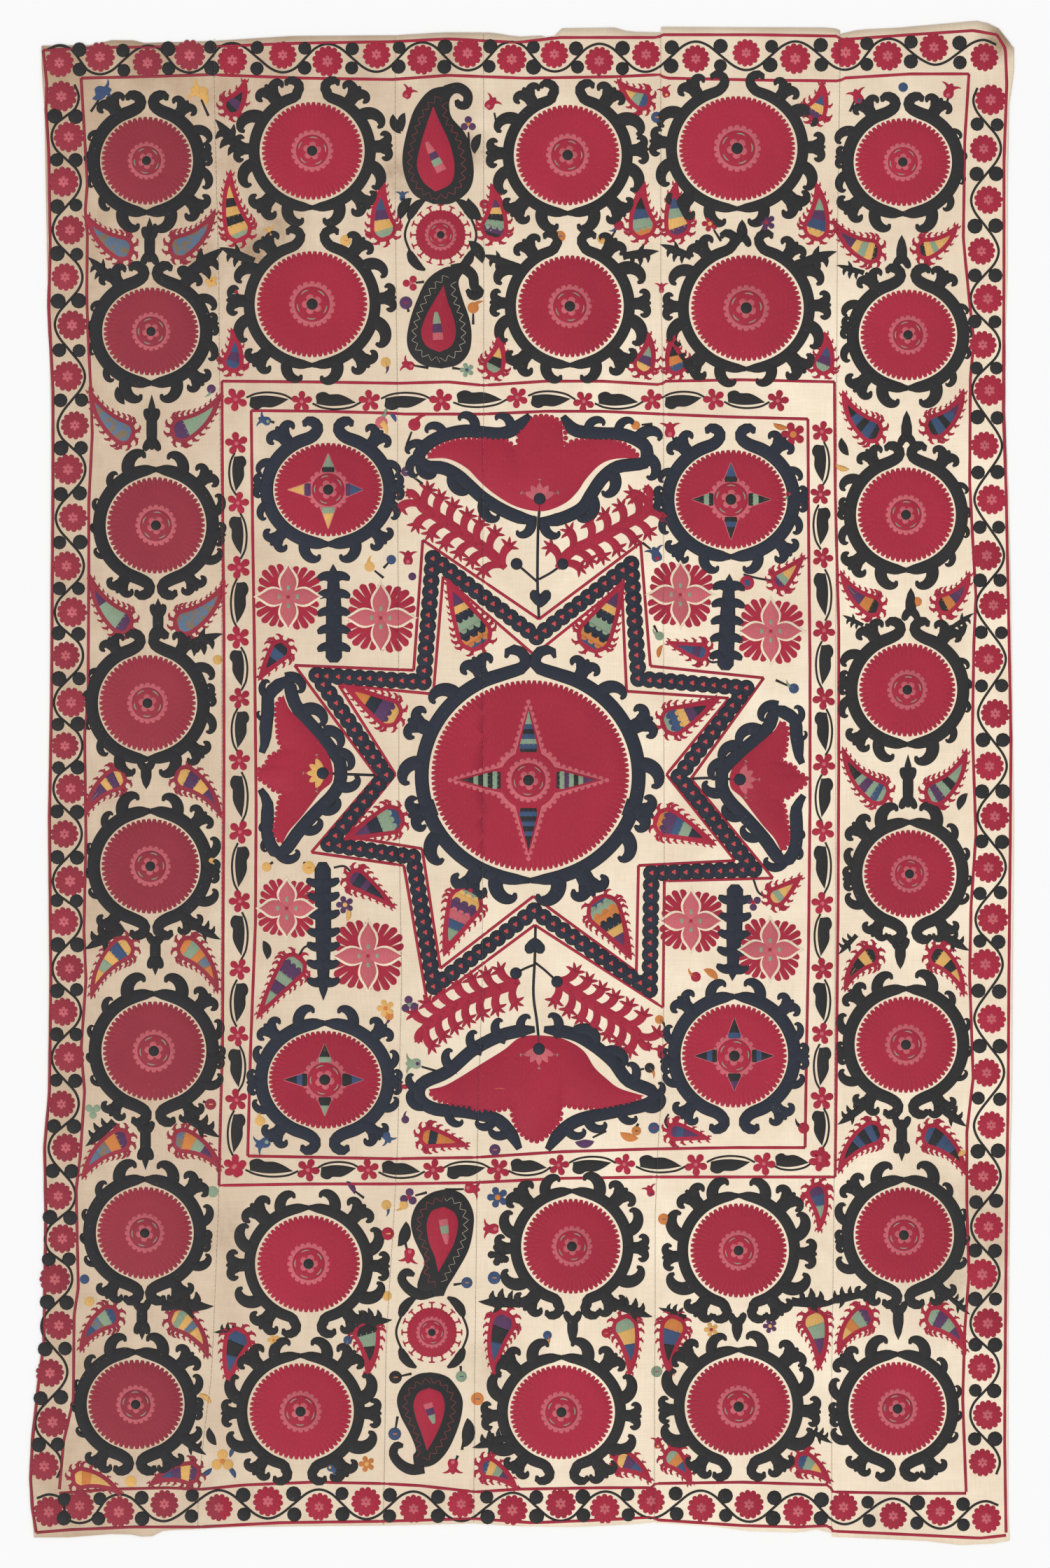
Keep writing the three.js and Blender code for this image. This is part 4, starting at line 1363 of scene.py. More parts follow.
# Each paisley: the left and right sides of its outer drop and of its inner one, its curl, its core
# (tip, base, half width, colours from the base) and its zigzag's colours, left and right.
PAISLEYS = (
    (((647, 122), (616, 128), (595, 151), (584, 178), (575, 220), (578, 252), (592, 279), (619, 292)),
     ((652, 132), (644, 140), (642, 152), (646, 169), (664, 190), (673, 214), (677, 249), (669, 274),
      (645, 291), (619, 292)), ((619, 150), (609, 178), (600, 208), (595, 237), (604, 260), (622, 275)),
     ((619, 150), (628, 172), (643, 205), (650, 237), (645, 262), (622, 275)),
     ((636, 130), (655, 126), (668, 136), (666, 150), (656, 150), (652, 143)),
     ((609, 203), (631, 245), 9, "rose violet green rose"), ("coral", "coral")),
    (((655, 380), (634, 383), (610, 400), (595, 430), (585, 460), (581, 487), (587, 507), (604, 522),
      (631, 527)),
     ((662, 390), (656, 400), (656, 410), (662, 430), (671, 457), (674, 481), (670, 504), (655, 521),
      (631, 527)), ((634, 406), (620, 430), (608, 452), (601, 475), (608, 494), (628, 504)),
     ((634, 406), (640, 430), (648, 452), (652, 475), (646, 494), (628, 504)),
     ((645, 386), (662, 384), (675, 394), (678, 410), (686, 418), (676, 424), (667, 414)),
     ((623, 446), (626, 486), 9, "green violet rose"), ("cream", "cream")),
    (((634, 1852), (607, 1853), (596, 1840), (600, 1822), (606, 1804), (598, 1785), (590, 1766),
      (587, 1744), (596, 1720), (615, 1705), (637, 1699)),
     ((634, 1852), (640, 1838), (653, 1817), (670, 1785), (677, 1750), (675, 1728), (664, 1709),
      (650, 1701), (637, 1699)),
     ((626, 1820), (620, 1795), (612, 1775), (609, 1750), (616, 1731), (634, 1724)),
     ((626, 1820), (640, 1795), (650, 1775), (655, 1750), (650, 1733), (634, 1724)),
     ((618, 1846), (600, 1850), (584, 1842), (574, 1828), (580, 1818), (592, 1822)),
     ((638, 1778), (633, 1742), 8, "rose green rose"), ("coral", "cream")),
    (((592, 2098), (590, 2080), (594, 2072), (586, 2050), (572, 2023), (567, 1999), (577, 1977),
      (596, 1964), (615, 1961)),
     ((592, 2098), (618, 2094), (637, 2077), (651, 2050), (660, 2020), (660, 1996), (645, 1972),
      (631, 1964), (615, 1961)),
     ((610, 2075), (602, 2050), (594, 2028), (590, 2007), (597, 1990), (613, 1983)),
     ((610, 2075), (624, 2050), (633, 2028), (636, 2007), (630, 1990), (613, 1983)),
     ((606, 2098), (588, 2100), (572, 2092), (562, 2078), (566, 2066), (576, 2066)),
     ((620, 2034), (611, 2005), 8, "green violet rose"), ("coral", "coral")),
)
SMALL_ROSETTES = ((629.5, 336), (617, 1904))
SMALL = 36  # their radius
ZIGZAG_STEP, ZIGZAG_SWING = 3.1, 3.8  # of the line round a paisley


def paisley(silks, shape):
    """A dark drop with a zigzag round it, a red drop inside, and a core of three colours."""
    left, right, inner_left, inner_right = (through(side, 60) for side in shape[:4])
    curl_line, (tip, base, half, colours), zigzag = shape[4:]
    rails(silks["ink"], left, right)
    ribbon(silks["ink"], through(curl_line, 24), profile(24, (0, 0.3, 0.9, 1), (8, 8, 6, 3)), layer=0.1)
    share = np.linspace(0.06, 0.99, 60)
    for outer, inner, hue in ((left, inner_left, zigzag[0]), (right, inner_right, zigzag[1])):
        start = (0.5 * (left[4] + right[4]) - inner[0]) * np.clip(1 - share * 4, 0, 1)[:, None]
        between = 0.48 * outer + 0.52 * inner + 0.3 * start
        path = even(between[3:], int(length_of(between[3:]) / ZIGZAG_STEP))
        swing = ZIGZAG_SWING * (np.abs((np.arange(len(path)) % 4) - 2) - 1)
        path = path + normal_of(np.gradient(path, axis=0)) * swing[:, None]
        ribbon(silks[hue], even(path, 3 * len(path)), 1.2, layer=1)
    rails(silks["crimson"], inner_left, inner_right, layer=1)
    wide = half * np.sqrt(np.sin(np.linspace(0.12, np.pi / 2, 20)))[::-1] * 0.9
    shaded(silks, even((tip, base), 20)[::-1], wide, colours.split()[::-1], 2)


def small_rosettes(silks):
    """Two plain rosettes ringed with forked hairs, each with four leaves and two bowed lines."""
    angle = around(16)
    for u, v in SMALL_ROSETTES:
        blob(silks["crimson"], (u, v), toothed(SMALL, 40, 1.0))
        hair = curl((u, v) + (SMALL - 2) * direction(angle), angle, 8.0, 0.0, count=4)
        ribbon(silks["crimson"], hair, 1.7, layer=0.05)
        for way in (-1, 1):
            fork = curl(hair[:, -1], angle + way * 1.1, 5.5, way * 1.2, count=5)
            ribbon(silks["crimson"], fork, tapering(5.5, 1.9, 0.8, 5), layer=0.08)
        for side in (-1, 1):
            for end in (-1, 1):
                leaf = curl((u + side * 22, v + end * 50), np.radians(-90 * end) + side * end * 1.2, 40.0,
                            -side * end * 1.1, count=14, ease=1.0)
                ribbon(silks["ink"], leaf, profile(14, (0, 0.25, 0.6, 0.85, 1), (2, 6, 7.5, 5, 0.5)))
            bow = ((u + side * 40, v - 32), (u + side * 51, v), (u + side * 40, v + 32))
            ribbon(silks["ink"], through(bow, 16), 2.2)
    rosette_hearts(silks, [(*spot, SMALL * 1.5, SMALL * 1.5) for spot in SMALL_ROSETTES])


# ---- Small fillers ----


def sprig_dot(spots, turn, size, silk, second=None):
    """A round berry, its half in a second colour."""
    disc(silk, spots, size, 12)
    if second:
        half = curl(spots - 0.5 * size * direction(turn), turn, size * 1.1, 0.0, count=5)
        ribbon(second, half, spindle(5, size * 0.5, 0.5) + 0.3, layer=1)


def sprig_leaf(spots, turn, size, silk):
    """A pointed leaf with a bent tip."""
    line = curl(spots - size * direction(turn), turn - 0.4, size * 2.2, 0.9, count=10)
    ribbon(silk, line, spindle(10, size * 0.48, 0.8))


def sprig_tulip(spots, turn, size, silk, pale):
    """A cup with three curved points and a pale spot at its foot."""
    foot = spots - 0.9 * size * direction(turn)
    cup = curl(foot, turn, size * 1.5, 0.0, count=8)
    ribbon(silk, cup, np.array([0.35, 0.5, 0.55, 0.5, 0.42, 0.4, 0.3, 0.1]) * size)
    for side in (-1, 1):
        point = curl(foot + size * 0.7 * direction(turn), turn + side * 0.5, size * 1.35, side * 1.3, count=7)
        ribbon(silk, point, tapering(size * 1.35, size * 0.34, 0.6, 7), layer=0.06)
    disc(pale, foot + size * 0.3 * direction(turn), size * 0.26, 8, layer=1)


def sprig_flower(spots, turn, size, silk, eye):
    """Five round petals and an eye."""
    blob(silk, spots, size * petalled(1.0, 5, 0.45, 6))
    disc(eye, spots, size * 0.32, 8, layer=1)


def sprig_trefoil(spots, turn, size, silk, eye):
    """Three berries and the eye between them."""
    for step in range(3):
        disc(silk, spots + size * 0.6 * direction(turn + step * TAU / 3), size * 0.52, 10)
    disc(eye, spots, size * 0.3, 8, layer=1)


def sprig_bud(spots, turn, size, silk, second):
    """A round bud whose second colour bends out of it like a flame."""
    disc(silk, spots, size * 0.7, 12)
    flame = curl(spots, turn, size * 1.7, 1.4, count=8)
    ribbon(second, flame, tapering(size * 1.7, size * 0.45, 0.4, 8), layer=0.1)


SPRIGS = {
    "dot": sprig_dot, "leaf": sprig_leaf, "tulip": sprig_tulip, "flower": sprig_flower,
    "trefoil": sprig_trefoil, "bud": sprig_bud,
}

# Where each filler stands, which way it points in degrees clockwise from +u, its size, its
# colours, and where its dark stem comes from (nothing without a stem).
FILLERS = (
    # round the upper rosettes
    ("tulip", 584, 131, -60, 10, "crimson rose"), ("tulip", 703, 146, -50, 11, "crimson rose", (712, 190)),
    ("trefoil", 669, 178, -90, 9, "violet orange", (670, 210)), ("leaf", 568, 178, 250, 12, "ink"),
    ("leaf", 577, 176, 280, 11, "ink"), ("leaf", 683, 207, 290, 12, "ink"),
    ("tulip", 575, 279, 270, 8, "blue ink", (579, 296)), ("dot", 692, 292, 0, 6, "crimson green"),
    ("leaf", 680, 300, 240, 15, "ink"), ("leaf", 678, 360, 60, 15, "ink"),
    ("leaf", 580, 300, 300, 14, "ink"), ("trefoil", 587, 405, 180, 9, "crimson rose", (606, 403)),
    ("dot", 580, 433, 0, 8, "violet crimson", (584, 446)),
    ("bud", 676, 440, -60, 10, "orange orange", (676, 464)),
    ("tulip", 581, 521, 200, 10, "crimson rose", (612, 526)),
    ("flower", 667, 529, 0, 9, "green blue", (646, 526)), ("bud", 551, 518, 60, 9, "gold violet"),
    ("tulip", 282, 130, 200, 14, "gold gold", (298, 166)), ("leaf", 289, 138, 70, 10, "gold"),
    ("tulip", 150, 130, -10, 13, "blue blue", (130, 160)), ("leaf", 143, 134, 150, 10, "blue"),
    ("tulip", 950, 130, 250, 9, "crimson gold"), ("dot", 938, 168, 0, 7, "blue orange"),
    ("flower", 1095, 318, 0, 11, "violet crimson", (1080, 342)),
    ("flower", 1014, 320, 0, 10, "crimson gold", (1030, 345)),
    ("bud", 884, 322, 120, 9, "crimson blue", (870, 345)), ("dot", 800, 338, 0, 7, "orange blue"),
    ("dot", 860, 342, 0, 6, "gold crimson"), ("dot", 494, 344, 0, 7, "gold orange"),
    ("tulip", 385, 330, 250, 8, "gold orange"), ("flower", 302, 402, 0, 8, "gold orange"),
    ("dot", 334, 420, 0, 6, "crimson green"), ("tulip", 945, 410, 270, 8, "crimson rose"),
    ("flower", 702, 330, 0, 7, "crimson green"),
    # inside the frame, above the star
    ("tulip", 376, 600, 200, 10, "blue green", (392, 604)),
    ("bud", 545, 604, 40, 11, "rose gold", (540, 636)), ("leaf", 560, 596, 60, 7, "blue"),
    ("leaf", 548, 590, 120, 7, "green"), ("bud", 592, 607, -70, 11, "crimson crimson", (581, 636)),
    ("dot", 580, 674, 0, 6, "violet green", (604, 692)), ("leaf", 588, 680, 40, 7, "green"),
    ("tulip", 957, 612, 270, 12, "crimson rose", (966, 640)),
    ("bud", 908, 608, 200, 8, "orange ink", (932, 606)), ("flower", 1133, 621, 0, 15, "crimson orange"),
    ("leaf", 1116, 608, 200, 9, "orange"), ("leaf", 573, 706, 260, 8, "crimson"),
    ("tulip", 583, 795, 270, 11, "crimson rose"), ("bud", 528, 810, 250, 9, "gold gold", (548, 826)),
    ("dot", 559, 800, 0, 6, "blue", (548, 812)), ("dot", 589, 824, 0, 5, "violet"),
    ("tulip", 936, 790, 250, 12, "blue crimson", (918, 776)),
    ("bud", 942, 909, 200, 8, "green green", (934, 894)), ("leaf", 944, 932, 290, 8, "orange"),
    ("dot", 1067, 833, 0, 9, "crimson blue"), ("dot", 573, 850, 0, 5, "crimson"),
    ("bud", 1134, 984, 200, 9, "blue green", (1108, 972)), ("bud", 1129, 706, 120, 8, "crimson green"),
    # inside the frame, below the star
    ("flower", 493, 1293, 0, 11, "violet gold"), ("dot", 381, 1239, 0, 6, "gold", (390, 1232)),
    ("dot", 441, 1240, 0, 8, "gold orange", (434, 1232)), ("flower", 551, 1441, 0, 11, "gold orange"),
    ("bud", 556, 1452, 90, 8, "orange violet"), ("trefoil", 585, 1436, 20, 10, "violet green"),
    ("tulip", 588, 1520, 180, 12, "green violet", (628, 1532)),
    ("tulip", 575, 1553, 180, 7, "crimson crimson"),
    ("tulip", 373, 1635, 160, 12, "blue green", (398, 1622)), ("bud", 372, 1602, 250, 9, "gold gold"),
    ("tulip", 554, 1627, 60, 10, "blue blue", (540, 1616)), ("bud", 579, 1600, 250, 7, "violet violet"),
    ("leaf", 900, 1622, 200, 11, "orange", (912, 1606)), ("dot", 909, 1616, 0, 6, "orange ink"),
    ("leaf", 836, 1631, 180, 11, "violet", (866, 1616)), ("dot", 934, 1612, 0, 7, "blue crimson"),
    ("dot", 707, 1643, 0, 7, "violet orange"), ("bud", 942, 1457, 30, 8, "orange ink"),
    ("tulip", 944, 1501, 250, 11, "crimson crimson"), ("bud", 928, 1526, 40, 9, "ink orange", (906, 1530)),
    ("leaf", 1014, 1393, 40, 10, "orange"), ("bud", 994, 1396, 200, 9, "crimson orange"),
    ("bud", 1148, 1612, 200, 10, "crimson ink"), ("trefoil", 1076, 1290, 90, 9, "violet crimson"),
    ("trefoil", 398, 1288, 40, 9, "violet crimson"), ("leaf", 378, 1357, 80, 11, "ink"),
    ("leaf", 496, 1306, 100, 8, "gold"),
    # the columns
    ("tulip", 1224, 136, 250, 12, "crimson blue", (1214, 160)), ("dot", 1290, 125, 0, 6, "blue blue"),
    ("tulip", 1357, 128, 290, 12, "crimson rose", (1352, 150)),
    ("trefoil", 133, 1587, 90, 9, "green green"), ("dot", 301, 1578, 0, 7, "crimson gold", (290, 1574)),
    ("dot", 304, 1703, 0, 7, "green green"), ("dot", 121, 1828, 0, 6, "blue blue"),
    ("dot", 311, 943, 0, 6, "gold gold"), ("leaf", 1208, 639, 250, 11, "ink"),
    ("leaf", 1204, 667, 200, 9, "gold"), ("leaf", 1376, 1147, 300, 11, "ink"),
    ("leaf", 1376, 905, 300, 10, "ink"), ("bud", 1210, 1650, 270, 8, "gold green"),
    ("leaf", 1371, 1654, 320, 10, "gold"), ("leaf", 292, 1999, 40, 9, "gold"),
    ("leaf", 305, 2053, 250, 11, "ink"), ("trefoil", 318, 2088, 30, 13, "gold orange"),
    ("leaf", 330, 2104, 60, 8, "blue"), ("leaf", 295, 2102, 150, 8, "blue"),
    ("leaf", 333, 2076, 300, 7, "blue"), ("dot", 187, 2117, 0, 7, "gold"),
    ("flower", 391, 1915, 0, 8, "gold orange"), ("leaf", 174, 566, 250, 11, "ink"),
    ("bud", 302, 556, 100, 8, "violet green"), ("dot", 1310, 860, 0, 6, "orange"),
    ("dot", 300, 1230, 0, 6, "gold"), ("dot", 128, 1860, 0, 6, "gold green"),
    # round the lower rosettes
    ("tulip", 677, 1699, 10, 12, "crimson rose", (636, 1700)),
    ("trefoil", 584, 1711, 40, 10, "violet crimson", (610, 1704)), ("bud", 577, 1722, 120, 8, "gold gold"),
    ("flower", 711, 1711, 0, 13, "blue orange"), ("tulip", 699, 1756, 180, 12, "crimson rose"),
    ("tulip", 584, 1797, 100, 12, "crimson rose", (579, 1776)), ("leaf", 574, 1762, 110, 15, "ink"),
    ("bud", 552, 1722, 60, 9, "gold blue"), ("dot", 554, 1763, 0, 8, "crimson gold"),
    ("dot", 706, 1826, 0, 8, "blue orange"), ("dot", 667, 1833, 0, 7, "blue orange", (648, 1836)),
    ("flower", 713, 1793, 0, 14, "ink ink"), ("dot", 553, 1852, 0, 6, "gold"),
    ("dot", 565, 1968, 0, 8, "ink orange", (588, 1963)),
    ("dot", 659, 1967, 0, 7, "green blue", (658, 1952)), ("dot", 682, 1999, 0, 8, "orange blue"),
    ("dot", 564, 2049, 0, 8, "blue orange", (568, 2024)), ("leaf", 664, 2046, 100, 17, "ink", (660, 2072)),
    ("tulip", 647, 2098, 90, 12, "crimson rose", (654, 2080)), ("flower", 524, 2092, 0, 10, "orange gold"),
    ("tulip", 477, 2100, 30, 9, "blue gold"), ("leaf", 500, 1697, 60, 9, "violet", (520, 1712)),
    ("tulip", 928, 1700, 250, 9, "crimson violet"), ("dot", 948, 1742, 0, 7, "orange blue"),
    ("tulip", 940, 2060, 270, 9, "crimson gold"), ("dot", 938, 1960, 0, 7, "green crimson"),
    ("bud", 497, 1915, 100, 8, "blue gold"), ("flower", 1100, 1895, 0, 9, "violet gold"),
    ("flower", 1016, 1900, 0, 9, "gold crimson"), ("bud", 782, 1908, 60, 8, "blue orange"),
    ("dot", 866, 1905, 0, 6, "crimson orange"),
)


FILLER_SCALE = 1.2
STEM_END = 0.35  # where a stem stops, from the filler towards its root


def fillers(silks):
    """Each filler in its silks, and the stem under it."""
    for kind, u, v, turn, size, hues, *stem in FILLERS:
        spot = np.array([u, v], float)
        SPRIGS[kind](spot, np.radians(turn), FILLER_SCALE * size, *[silks[hue] for hue in hues.split()])
        if stem:
            line = even([stem[0], spot + STEM_END * (stem[0] - spot)], 6)
            ribbon(silks["ink"], line, np.linspace(2.6, 1.8, 6), layer=-0.5)


def patches(silks):
    """A round darn on the cotton and a worn place on the lower bell."""
    ribbon(silks["cream"], (580, 759) + 17 * direction(around(40)), 0.5, closed=True, rise=0.3)
    worn = even([(704, 1556), (714, 1555), (724, 1557)], 7)
    ribbon(silks["orange"], worn, spindle(7, 3.2, 0.8), layer=1, rise=0.5)


# ---- Cotton strips and the thread that joins them ----

CLOTH_STEP = 15.0  # grid units between the rows and columns of a strip's sheet
CLOTH_LENGTH = 2140
SEAM_GAP = 0.25  # half the gap between two strips of cotton


def strip_sheet(number, material):
    """One strip of cotton: a closed thin sheet, its upper and lower faces and the hem between."""
    low, high = SIDE_NAMES[number], SIDE_NAMES[number + 1]
    top, bottom = np.array(TOP_HEMS[number], float), np.array(BOTTOM_HEMS[number], float)
    width = STRIP_WIDTHS[number]
    near, inner = np.array([0, 1.2, 3]) / width, np.linspace(6, width - 6, int(width / CLOTH_STEP)) / width
    share = np.concatenate([near, inner, 1 - near[::-1]])
    rows, cols = int(CLOTH_LENGTH / CLOTH_STEP), len(share)
    s, t = np.meshgrid(share, np.linspace(0, 1, rows))
    first = top[0, 1] + (top[-1, 1] - top[0, 1]) * s
    last = bottom[0, 1] + (bottom[-1, 1] - bottom[0, 1]) * s
    v = first + (last - first) * t
    u = side_at(low, v) + (side_at(high, v) - side_at(low, v)) * s
    u = u + SEAM_GAP * (number > 0) * (1 - s) - SEAM_GAP * (number < len(SEAMS)) * s
    first, last = np.interp(u, *top.T), np.interp(u, *bottom.T)
    v = first + (last - first) * t
    upper = lie(u, v)
    lower = np.maximum(upper - CLOTH_THICK, 0)
    points = np.concatenate([
        np.stack([to_x(u), to_y(v), height], -1).reshape(-1, 3) for height in (upper, lower)])
    i, j = np.meshgrid(np.arange(rows - 1), np.arange(cols - 1), indexing="ij")
    a = (i * cols + j).ravel()
    upper_faces = np.stack([a, a + cols, a + cols + 1, a + 1], -1)
    ring = np.concatenate([
        np.arange(cols - 1), np.arange(rows - 1) * cols + cols - 1,
        (rows - 1) * cols + np.arange(cols - 1, 0, -1), np.arange(rows - 1, 0, -1) * cols])
    ahead = np.roll(ring, -1)
    hem = np.stack([ring, ahead, ahead + u.size, ring + u.size], -1)
    faces = np.concatenate([upper_faces, upper_faces[:, ::-1] + u.size, hem])
    mesh = bpy.data.meshes.new(f"cotton_{number + 1}")
    mesh.from_pydata(points.tolist(), [], faces.tolist())
    piece = linked(f"cotton_{number + 1}", mesh, material)
    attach(piece, "root")
    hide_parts(f"strip_{number + 1}")


WHIP_STEP = 7.2
WHIP_FIRST, WHIP_LAST = 56, 2176  # v between which the seams are whipped
WHIP_SLANT = np.array([1.7, -1.1])  # from the middle of a whip stitch to its end


def seam_thread(silk):
    """Slanted whip stitches that hold each two strips edge to edge."""
    share = np.linspace(0, 1, 3)[None, :, None]
    for seam in SEAMS:
        v = np.arange(WHIP_FIRST, WHIP_LAST, WHIP_STEP)
        v = v + rng.uniform(-1.2, 1.2, len(v))
        middle = np.stack([side_at(seam, v), v], -1)[:, None]
        line = (middle - WHIP_SLANT) * (1 - share) + (middle + WHIP_SLANT) * share
        ribbon(silk, line, 0.45, rise=0.5)


# ---- Materials ----


def colour(red, green, blue):
    """A colour as it is seen, 0 to 255, turned into the linear light that a shader takes."""
    c = np.array([red, green, blue], float) / 255
    return (*np.where(c < 0.04045, c / 12.92, ((c + 0.055) / 1.055) ** 2.4).tolist(), 1.0)


class Tree:
    """A short hand for one material's nodes."""

    def __init__(self, name):
        self.material = bpy.data.materials.new(name)
        self.material.use_nodes = True
        self.all = self.material.node_tree.nodes
        self.links = self.material.node_tree.links
        self.surface = self.all["Principled BSDF"]

    def add(self, kind, inputs=(), **settings):
        """A new node; inputs are (socket, number, colour or another node's output) pairs."""
        made = self.all.new(kind)
        for key, value in settings.items():
            setattr(made, key, value)
        self.set(made, inputs)
        return made

    def set(self, node, inputs):
        for key, value in inputs:
            if isinstance(value, bpy.types.NodeSocket):
                self.links.new(value, node.inputs[key])
            else:
                node.inputs[key].default_value = value

    def place(self):
        """Where a point is: the socket, and its x, y and z apart."""
        where = self.add("ShaderNodeTexCoord").outputs["Object"]
        return where, self.add("ShaderNodeSeparateXYZ", ((0, where),)).outputs

    def mark(self, name):
        return self.add("ShaderNodeAttribute", (), attribute_name=name).outputs["Fac"]

    def math(self, operation, a, b=0.0):
        return self.add("ShaderNodeMath", ((0, a), (1, b)), operation=operation).outputs[0]

    def blend(self, share, a, b, how="MIX"):
        pairs = ((0, share), (6, a), (7, b))
        return self.add("ShaderNodeMix", pairs, data_type="RGBA", blend_type=how).outputs[2]

    def steps(self, value, low, high, out_low=0.0, out_high=1.0):
        names = ("Value", "From Min", "From Max", "To Min", "To Max")
        return self.add("ShaderNodeMapRange", zip(names, (value, low, high, out_low, out_high))).outputs[0]

    def grain(self, where, scale, detail, roughness=0.6):
        """Noise with a scale of its own along x and along y."""
        where = self.add("ShaderNodeMapping", (("Vector", where), ("Scale", (*scale, 1)))).outputs[0]
        pairs = (("Vector", where), ("Scale", 1.0), ("Detail", detail), ("Roughness", roughness))
        return self.add("ShaderNodeTexNoise", pairs).outputs[0]

    def dimmed(self, base, value):
        """A colour times a grey value."""
        grey = self.add("ShaderNodeCombineColor", ((0, value), (1, value), (2, value))).outputs[0]
        return self.blend(1.0, base, grey, "MULTIPLY")

    def bumped(self, height, strength, distance):
        pairs = (("Height", height), ("Strength", strength), ("Distance", distance))
        self.set(self.surface, (("Normal", self.add("ShaderNodeBump", pairs).outputs[0]),))


ROW = 0.0026  # metres between two rows of couching
LEFT_STRIP_END = -0.4945  # x where the leftmost strip ends
WORN = (222, 200, 172)  # the cotton that shows where silk is worn away


def silk_material(name, hue, specks, edge=None, mottle=None, faded=None):
    """Couched silk: laid threads in rows, each patch its own shade, worn to specks of cotton.

    The rows are bands ROW metres apart across x, and slanted on the leftmost strip.
    """
    tree = Tree(f"silk_{name}")
    where, axes = tree.place()
    wander = tree.grain(where, (30, 8), 2.0)
    upright = tree.math("ADD", axes[0], tree.math("MULTIPLY", wander, 0.006))
    slanted = tree.math("ADD", tree.math("MULTIPLY", upright, 0.62), tree.math("MULTIPLY", axes[1], 0.78))
    on_left = tree.math("LESS_THAN", axes[0], LEFT_STRIP_END)
    run = tree.add("ShaderNodeMix", ((0, on_left), (2, upright), (3, slanted)), data_type="FLOAT").outputs[0]
    rows = tree.steps(tree.math("SINE", tree.math("MULTIPLY", run, TAU / ROW)), -1.0, 1.0)
    fibre = tree.grain(where, (900, 160), 3.0)
    shade = tree.steps(tree.mark("tone"), 0.0, 1.0, -0.07, 0.07)
    value = tree.math("ADD", tree.steps(fibre, 0.25, 0.75, 0.8, 1.12), shade)
    value = tree.math("ADD", value, tree.steps(tree.grain(where, (6, 4), 4.0), 0.3, 0.7, -0.09, 0.09))
    value = tree.math("MULTIPLY", value, tree.steps(rows, 0.0, 0.55, 0.84, 1.02))
    base = hue = colour(*hue)
    if faded:
        base = tree.blend(tree.math("MULTIPLY", on_left, 0.85), hue, colour(*faded))
    if mottle:
        base = tree.blend(tree.steps(tree.grain(where, (75, 60), 2.0), 0.5, 0.54), hue, colour(*mottle))
    if edge:
        base = tree.blend(tree.steps(tree.mark("rim"), 1.5, 2.3), colour(*edge), base)
    worn = tree.grain(where, (420, 300), 2.0, 0.7)
    patchy = tree.steps(tree.grain(where, (9, 7), 3.0), 0.35, 0.7, 0.76, 0.70)
    speck = tree.math("MULTIPLY", tree.math("GREATER_THAN", worn, patchy), specks)
    tree.set(tree.surface, (
        ("Base Color", tree.blend(speck, tree.dimmed(base, value), colour(*WORN))),
        ("Roughness", 0.62), ("Sheen Weight", 0.12), ("Sheen Roughness", 0.4), ("Specular IOR Level", 0.25),
    ))
    tree.bumped(tree.math("ADD", tree.math("MULTIPLY", rows, 0.6), fibre), 0.35, 0.0006)
    return tree.material


# Each stain: u, v, its reach and its strength.
STAINS = (
    (286, 378, 46, 0.5), (359, 359, 40, 0.65), (567, 252, 36, 0.45), (679, 213, 36, 0.45),
    (330, 1760, 50, 0.3), (225, 85, 70, 0.35), (640, 90, 60, 0.25), (90, 90, 60, 0.35), (1424, 60, 34, 0.8),
    (700, 1945, 60, 0.18), (390, 330, 60, 0.35), (1385, 1800, 190, 0.3), (520, 690, 40, 0.25),
    (1262, 2160, 60, 0.2),
)


def cotton_material(name):
    """Hand-loomed cotton: a fine uneven weave, age spots, a darker tone towards the top and the left, and a
    few brown stains.
    """
    tree = Tree(name)
    where, axes = tree.place()
    warp, weft = tree.grain(where, (520, 22), 2.0), tree.grain(where, (22, 520), 2.0)
    cloud = tree.grain(where, (5, 5), 5.0, 0.65)
    base = tree.blend(tree.steps(cloud, 0.35, 0.68), colour(251, 236, 211), colour(233, 213, 187))
    # Darker and browner towards the top and the left of the cloth, in patches.
    above, beside = tree.steps(axes[1], 0.6, 1.3, 0.0, 0.4), tree.steps(axes[0], 0.1, -0.75, 0.0, 0.8)
    darker_up_and_left = tree.math("ADD", above, beside)
    darker_up_and_left = tree.math("MULTIPLY", darker_up_and_left, tree.steps(tree.grain(where, (14, 11), 4.0), 0.3, 0.7, 0.7, 1.2))
    base = tree.blend(darker_up_and_left, base, colour(194, 168, 142))
    threads = tree.math("ADD", tree.math("MULTIPLY", warp, 0.55), tree.math("MULTIPLY", weft, 0.55))
    base = tree.dimmed(base, tree.steps(threads, 0.35, 0.75, 0.92, 1.05))
    blotch = tree.steps(tree.grain(where, (26, 22), 4.0, 0.7), 0.3, 0.7, 0.3, 1.6)
    flat = tree.add("ShaderNodeCombineXYZ", ((0, axes[0]), (1, axes[1]))).outputs[0]
    for u, v, reach, strength in STAINS:
        middle = (float(to_x(u)), float(to_y(v)), 0.0)
        away = tree.add("ShaderNodeVectorMath", ((0, flat), (1, middle)), operation="DISTANCE")
        near = tree.steps(away.outputs["Value"], reach * GRID, 0.2 * reach * GRID)
        share = tree.math("MULTIPLY", tree.math("MULTIPLY", near, blotch), strength)
        base = tree.blend(tree.math("MINIMUM", share, 0.8), base, colour(150, 118, 88))
    slub = tree.math("GREATER_THAN", tree.grain(where, (60, 700), 2.0, 0.8), 0.74)
    base = tree.blend(tree.math("MULTIPLY", slub, 0.25), base, colour(180, 150, 120))
    tree.set(tree.surface, (("Base Color", base), ("Roughness", 0.9), ("Specular IOR Level", 0.15)))
    tree.bumped(tree.math("ADD", warp, weft), 0.3, 0.0004)
    return tree.material


